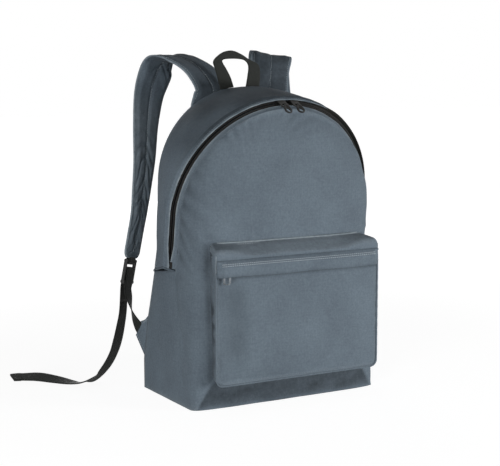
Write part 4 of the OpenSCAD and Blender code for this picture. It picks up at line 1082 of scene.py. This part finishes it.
def putStrap(strap):
    # a padded profile with thin edges, grooved and creased, carried down the strap's middle line
    side = strap["side"]
    u = linspace(0, len(strap["line"]) - 1, 261)
    centre, across, facing = stripFrames(strap["line"], strap["width"], u)
    run = runLength(centre)[:, None]
    length = run[-1]
    half = mix(padSet["top"], padSet["end"], ease(u, 5, 7.5))[:, None] / 2
    corner = clip(1 - (length - run) / padSet["round"], 0, 1)  # the lower end's corners are quarter circles
    half = half - padSet["round"] * (1 - np.sqrt(1 - corner ** 2))
    a = circle(96)
    x = np.sign(cos(a)) * abs(cos(a)) ** 0.9
    inner = np.where(sin(a) >= 0, 1.0, -1.0)  # +1 towards the pack
    reach, fromEdge = half * x, half * (1 - abs(x))
    rim = np.sqrt(maximum(0, 1 - abs(x) ** 30))
    ends = ease(run, 2, 14) * ease(run, length - 6, -22)
    puff = mix(padSet["edge"], padSet["middle"], ease(fromEdge, 1.5, 9))
    puff = mix(minimum(puff, 1.9), puff, ends)
    groove = padSet["groove"] * bell(reach, 0, 2.6) * ends * np.where(inner > 0, 1.0, 0.7)
    # narrow creases slant down from the edges to the middle seam: the fourth power of a half raised cosine
    wander = 3.2 * ripple(run, reach * 1.5, 80, 51 + (side == "right"))
    crease = 2 * pi * (run - abs(reach) * 0.8) / padSet["creaseStep"] + wander
    crease = (0.5 + 0.5 * cos(crease)) ** 4 * clip(0.6 + 0.7 * ripple(run, reach * 2, 120, 53), 0.1, 1.2)
    crease = crease * ease(fromEdge, 1.5, 5) * ends * np.where(inner > 0, 1.0, 0.4)
    swell = 0.5 * ripple(run, reach, 34, 55) * ease(fromEdge, 2, 6) * ends
    height = inner * rim * maximum(puff - groove - padSet["crease"] * crease + swell, 0.8)
    # lighter at the sewn edges: wear and painted highlight; darker in the creases and along the middle groove
    # of the inner face: painted shade
    seam = exp(-fromEdge / 1.5) * 0.9 - padSet["shadeAmount"] * (crease + bell(reach, 0, 2) * (inner > 0))
    # painted shade on the upper part, away from the edges; painted light on the inner face of the lower part
    seam = seam - padSet["topSoil"][side] * ease(run, 150, -50) * ease(fromEdge, 1.5, 2)
    seam = seam + padSet["innerWorn"] * ease(run, 160, 50) * (inner > 0)
    rings = carry(centre, across, facing, reach, height)
    body = "strap_" + side
    look = "shellCloth", body, "strap_face_" + side, "strap_foam_" + side, "strap_lining_" + side
    pad = putTube("strapPad_" + side, rings, reach, look, clip(seam, -1, 1))
    for name, aside, face in (("Mid", 0, 1), ("Out", 0, -1), ("A", 1, -1), ("B", -1, -1)):
        route = centre + aside * (half - 3.2) * across + face * 5 * facing
        stitchRow(f"strapStitch{name}_{side}", pad, route[6:-8], 3.6, 2.5, 0.5, body=body)

    # webbing loop from the strap end round the top bar of the buckle, at a distance for bar, play and webbing
    wrap, leg, bar = 1.7 + 0.4 + 0.8, 1.0, 5.5
    down = [[-14, leg], [-3, leg], [0.5, 1.7], [3, 2.6], [bar + 0.2, wrap], [bar + wrap * 0.71, wrap * 0.71]]
    line = down + [[bar + wrap, 0]] + [[along, -out] for along, out in down[::-1]]
    end = strapEnd(strap)
    points = array([inEnd(end, *place) for place in line])
    stations = linspace(0, len(line) - 1, 90)
    frames = stripFrames(points, np.broadcast_to(end[1], points.shape), stations)
    putWeb("buckleLoop_" + side, *frames, 10, 1.55, ("webBlack", body, "buckle_loop_" + side))


putStrap(strapLeft)
putStrap(strapRight)
print("straps")


# hard parts: softened copies of the solids

def softenCopy(node, width, finishName, wider=1, body=None):
    # a copy of a solid: merged, widened about its middle, its edges bevelled
    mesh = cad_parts[node].data.copy()
    work = bmesh.new()
    work.from_mesh(mesh)
    bmesh.ops.remove_doubles(work, verts=work.verts, dist=1e-6)
    bmesh.ops.dissolve_limit(work, angle_limit=math.radians(2), verts=work.verts, edges=work.edges)
    work.to_mesh(mesh)
    work.free()
    place = np.empty(len(mesh.vertices) * 3, np.float32)
    mesh.vertices.foreach_get("co", place)
    place[::3] = place[::3].mean() + wider * (place[::3] - place[::3].mean())  # wider about the middle
    mesh.vertices.foreach_set("co", place)
    mesh.materials.clear()
    mesh.shade_smooth()
    mesh.set_sharp_from_angle(angle=math.radians(40))
    obj = addObject(node + "_soft", mesh)
    bevel = obj.modifiers.new("softEdge", "BEVEL")
    bevel.width, bevel.segments = width * mm, 2
    bevel.limit_method, bevel.angle_limit = "ANGLE", math.radians(35)
    dress(obj, finishName, body or node, node)


pullSet = dict(wider=1.8, pocketWider=2.1, loop=8, loopHalf=5.4, wire=1.2, thicker=1.4, lean=1.3,
               place=(9.8, -83.8, 398.6))


def putPullLoop(side):  # loop on the end of a main pull: a drop shape that hangs down, thicker at its top
    t, a = circle(60), circle(10)
    x = pullSet["loopHalf"] * sin(t) * sin(t / 2)
    z = -pullSet["loop"] * (0.5 - 0.5 * cos(t))
    mirror = [-1 if side == "left" else 1, 1, 1]
    line = array(pullSet["place"]) * mirror + xyz(x, pullSet["lean"] * z, z)
    ahead = unit(np.roll(line, -1, 0) - np.roll(line, 1, 0))
    aside = unit(cross(ahead, [0, -1.0, 0]))
    girth = pullSet["wire"] * (1 + pullSet["thicker"] * cos(t / 2) ** 2)[:, None]
    rings = carry(line, aside, cross(aside, ahead), girth * cos(a), 0.6 * girth * sin(a))
    faces = gridFaces(len(t) + 1, len(a), True) % (len(t) * len(a))  # the last ring is the first one again
    loop = putMesh("pullLoop_" + side, rings, faces, a * pullSet["wire"], runLength(line)[:, None])
    dress(loop, "metalBlack", "main_pull_" + side)


for side in ("left", "right"):
    softenCopy("main_slider_" + side, 0.22, "metalBlack")
    softenCopy("main_pull_" + side, 0.3, "metalBlack", pullSet["wider"])
    putPullLoop(side)
    softenCopy("buckle_" + side, 0.45, "plasticBlack")
    softenCopy("zip_stop_" + side, 0.25, "metalBlack", body="pack")
softenCopy("pocket_slider", 0.22, "metalGrey")
softenCopy("pocket_pull", 0.3, "metalGrey", pullSet["pocketWider"])
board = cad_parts["base_board"]
board.data.materials.clear()
board.data.materials.append(materials["boardDark"])
print("hard parts")
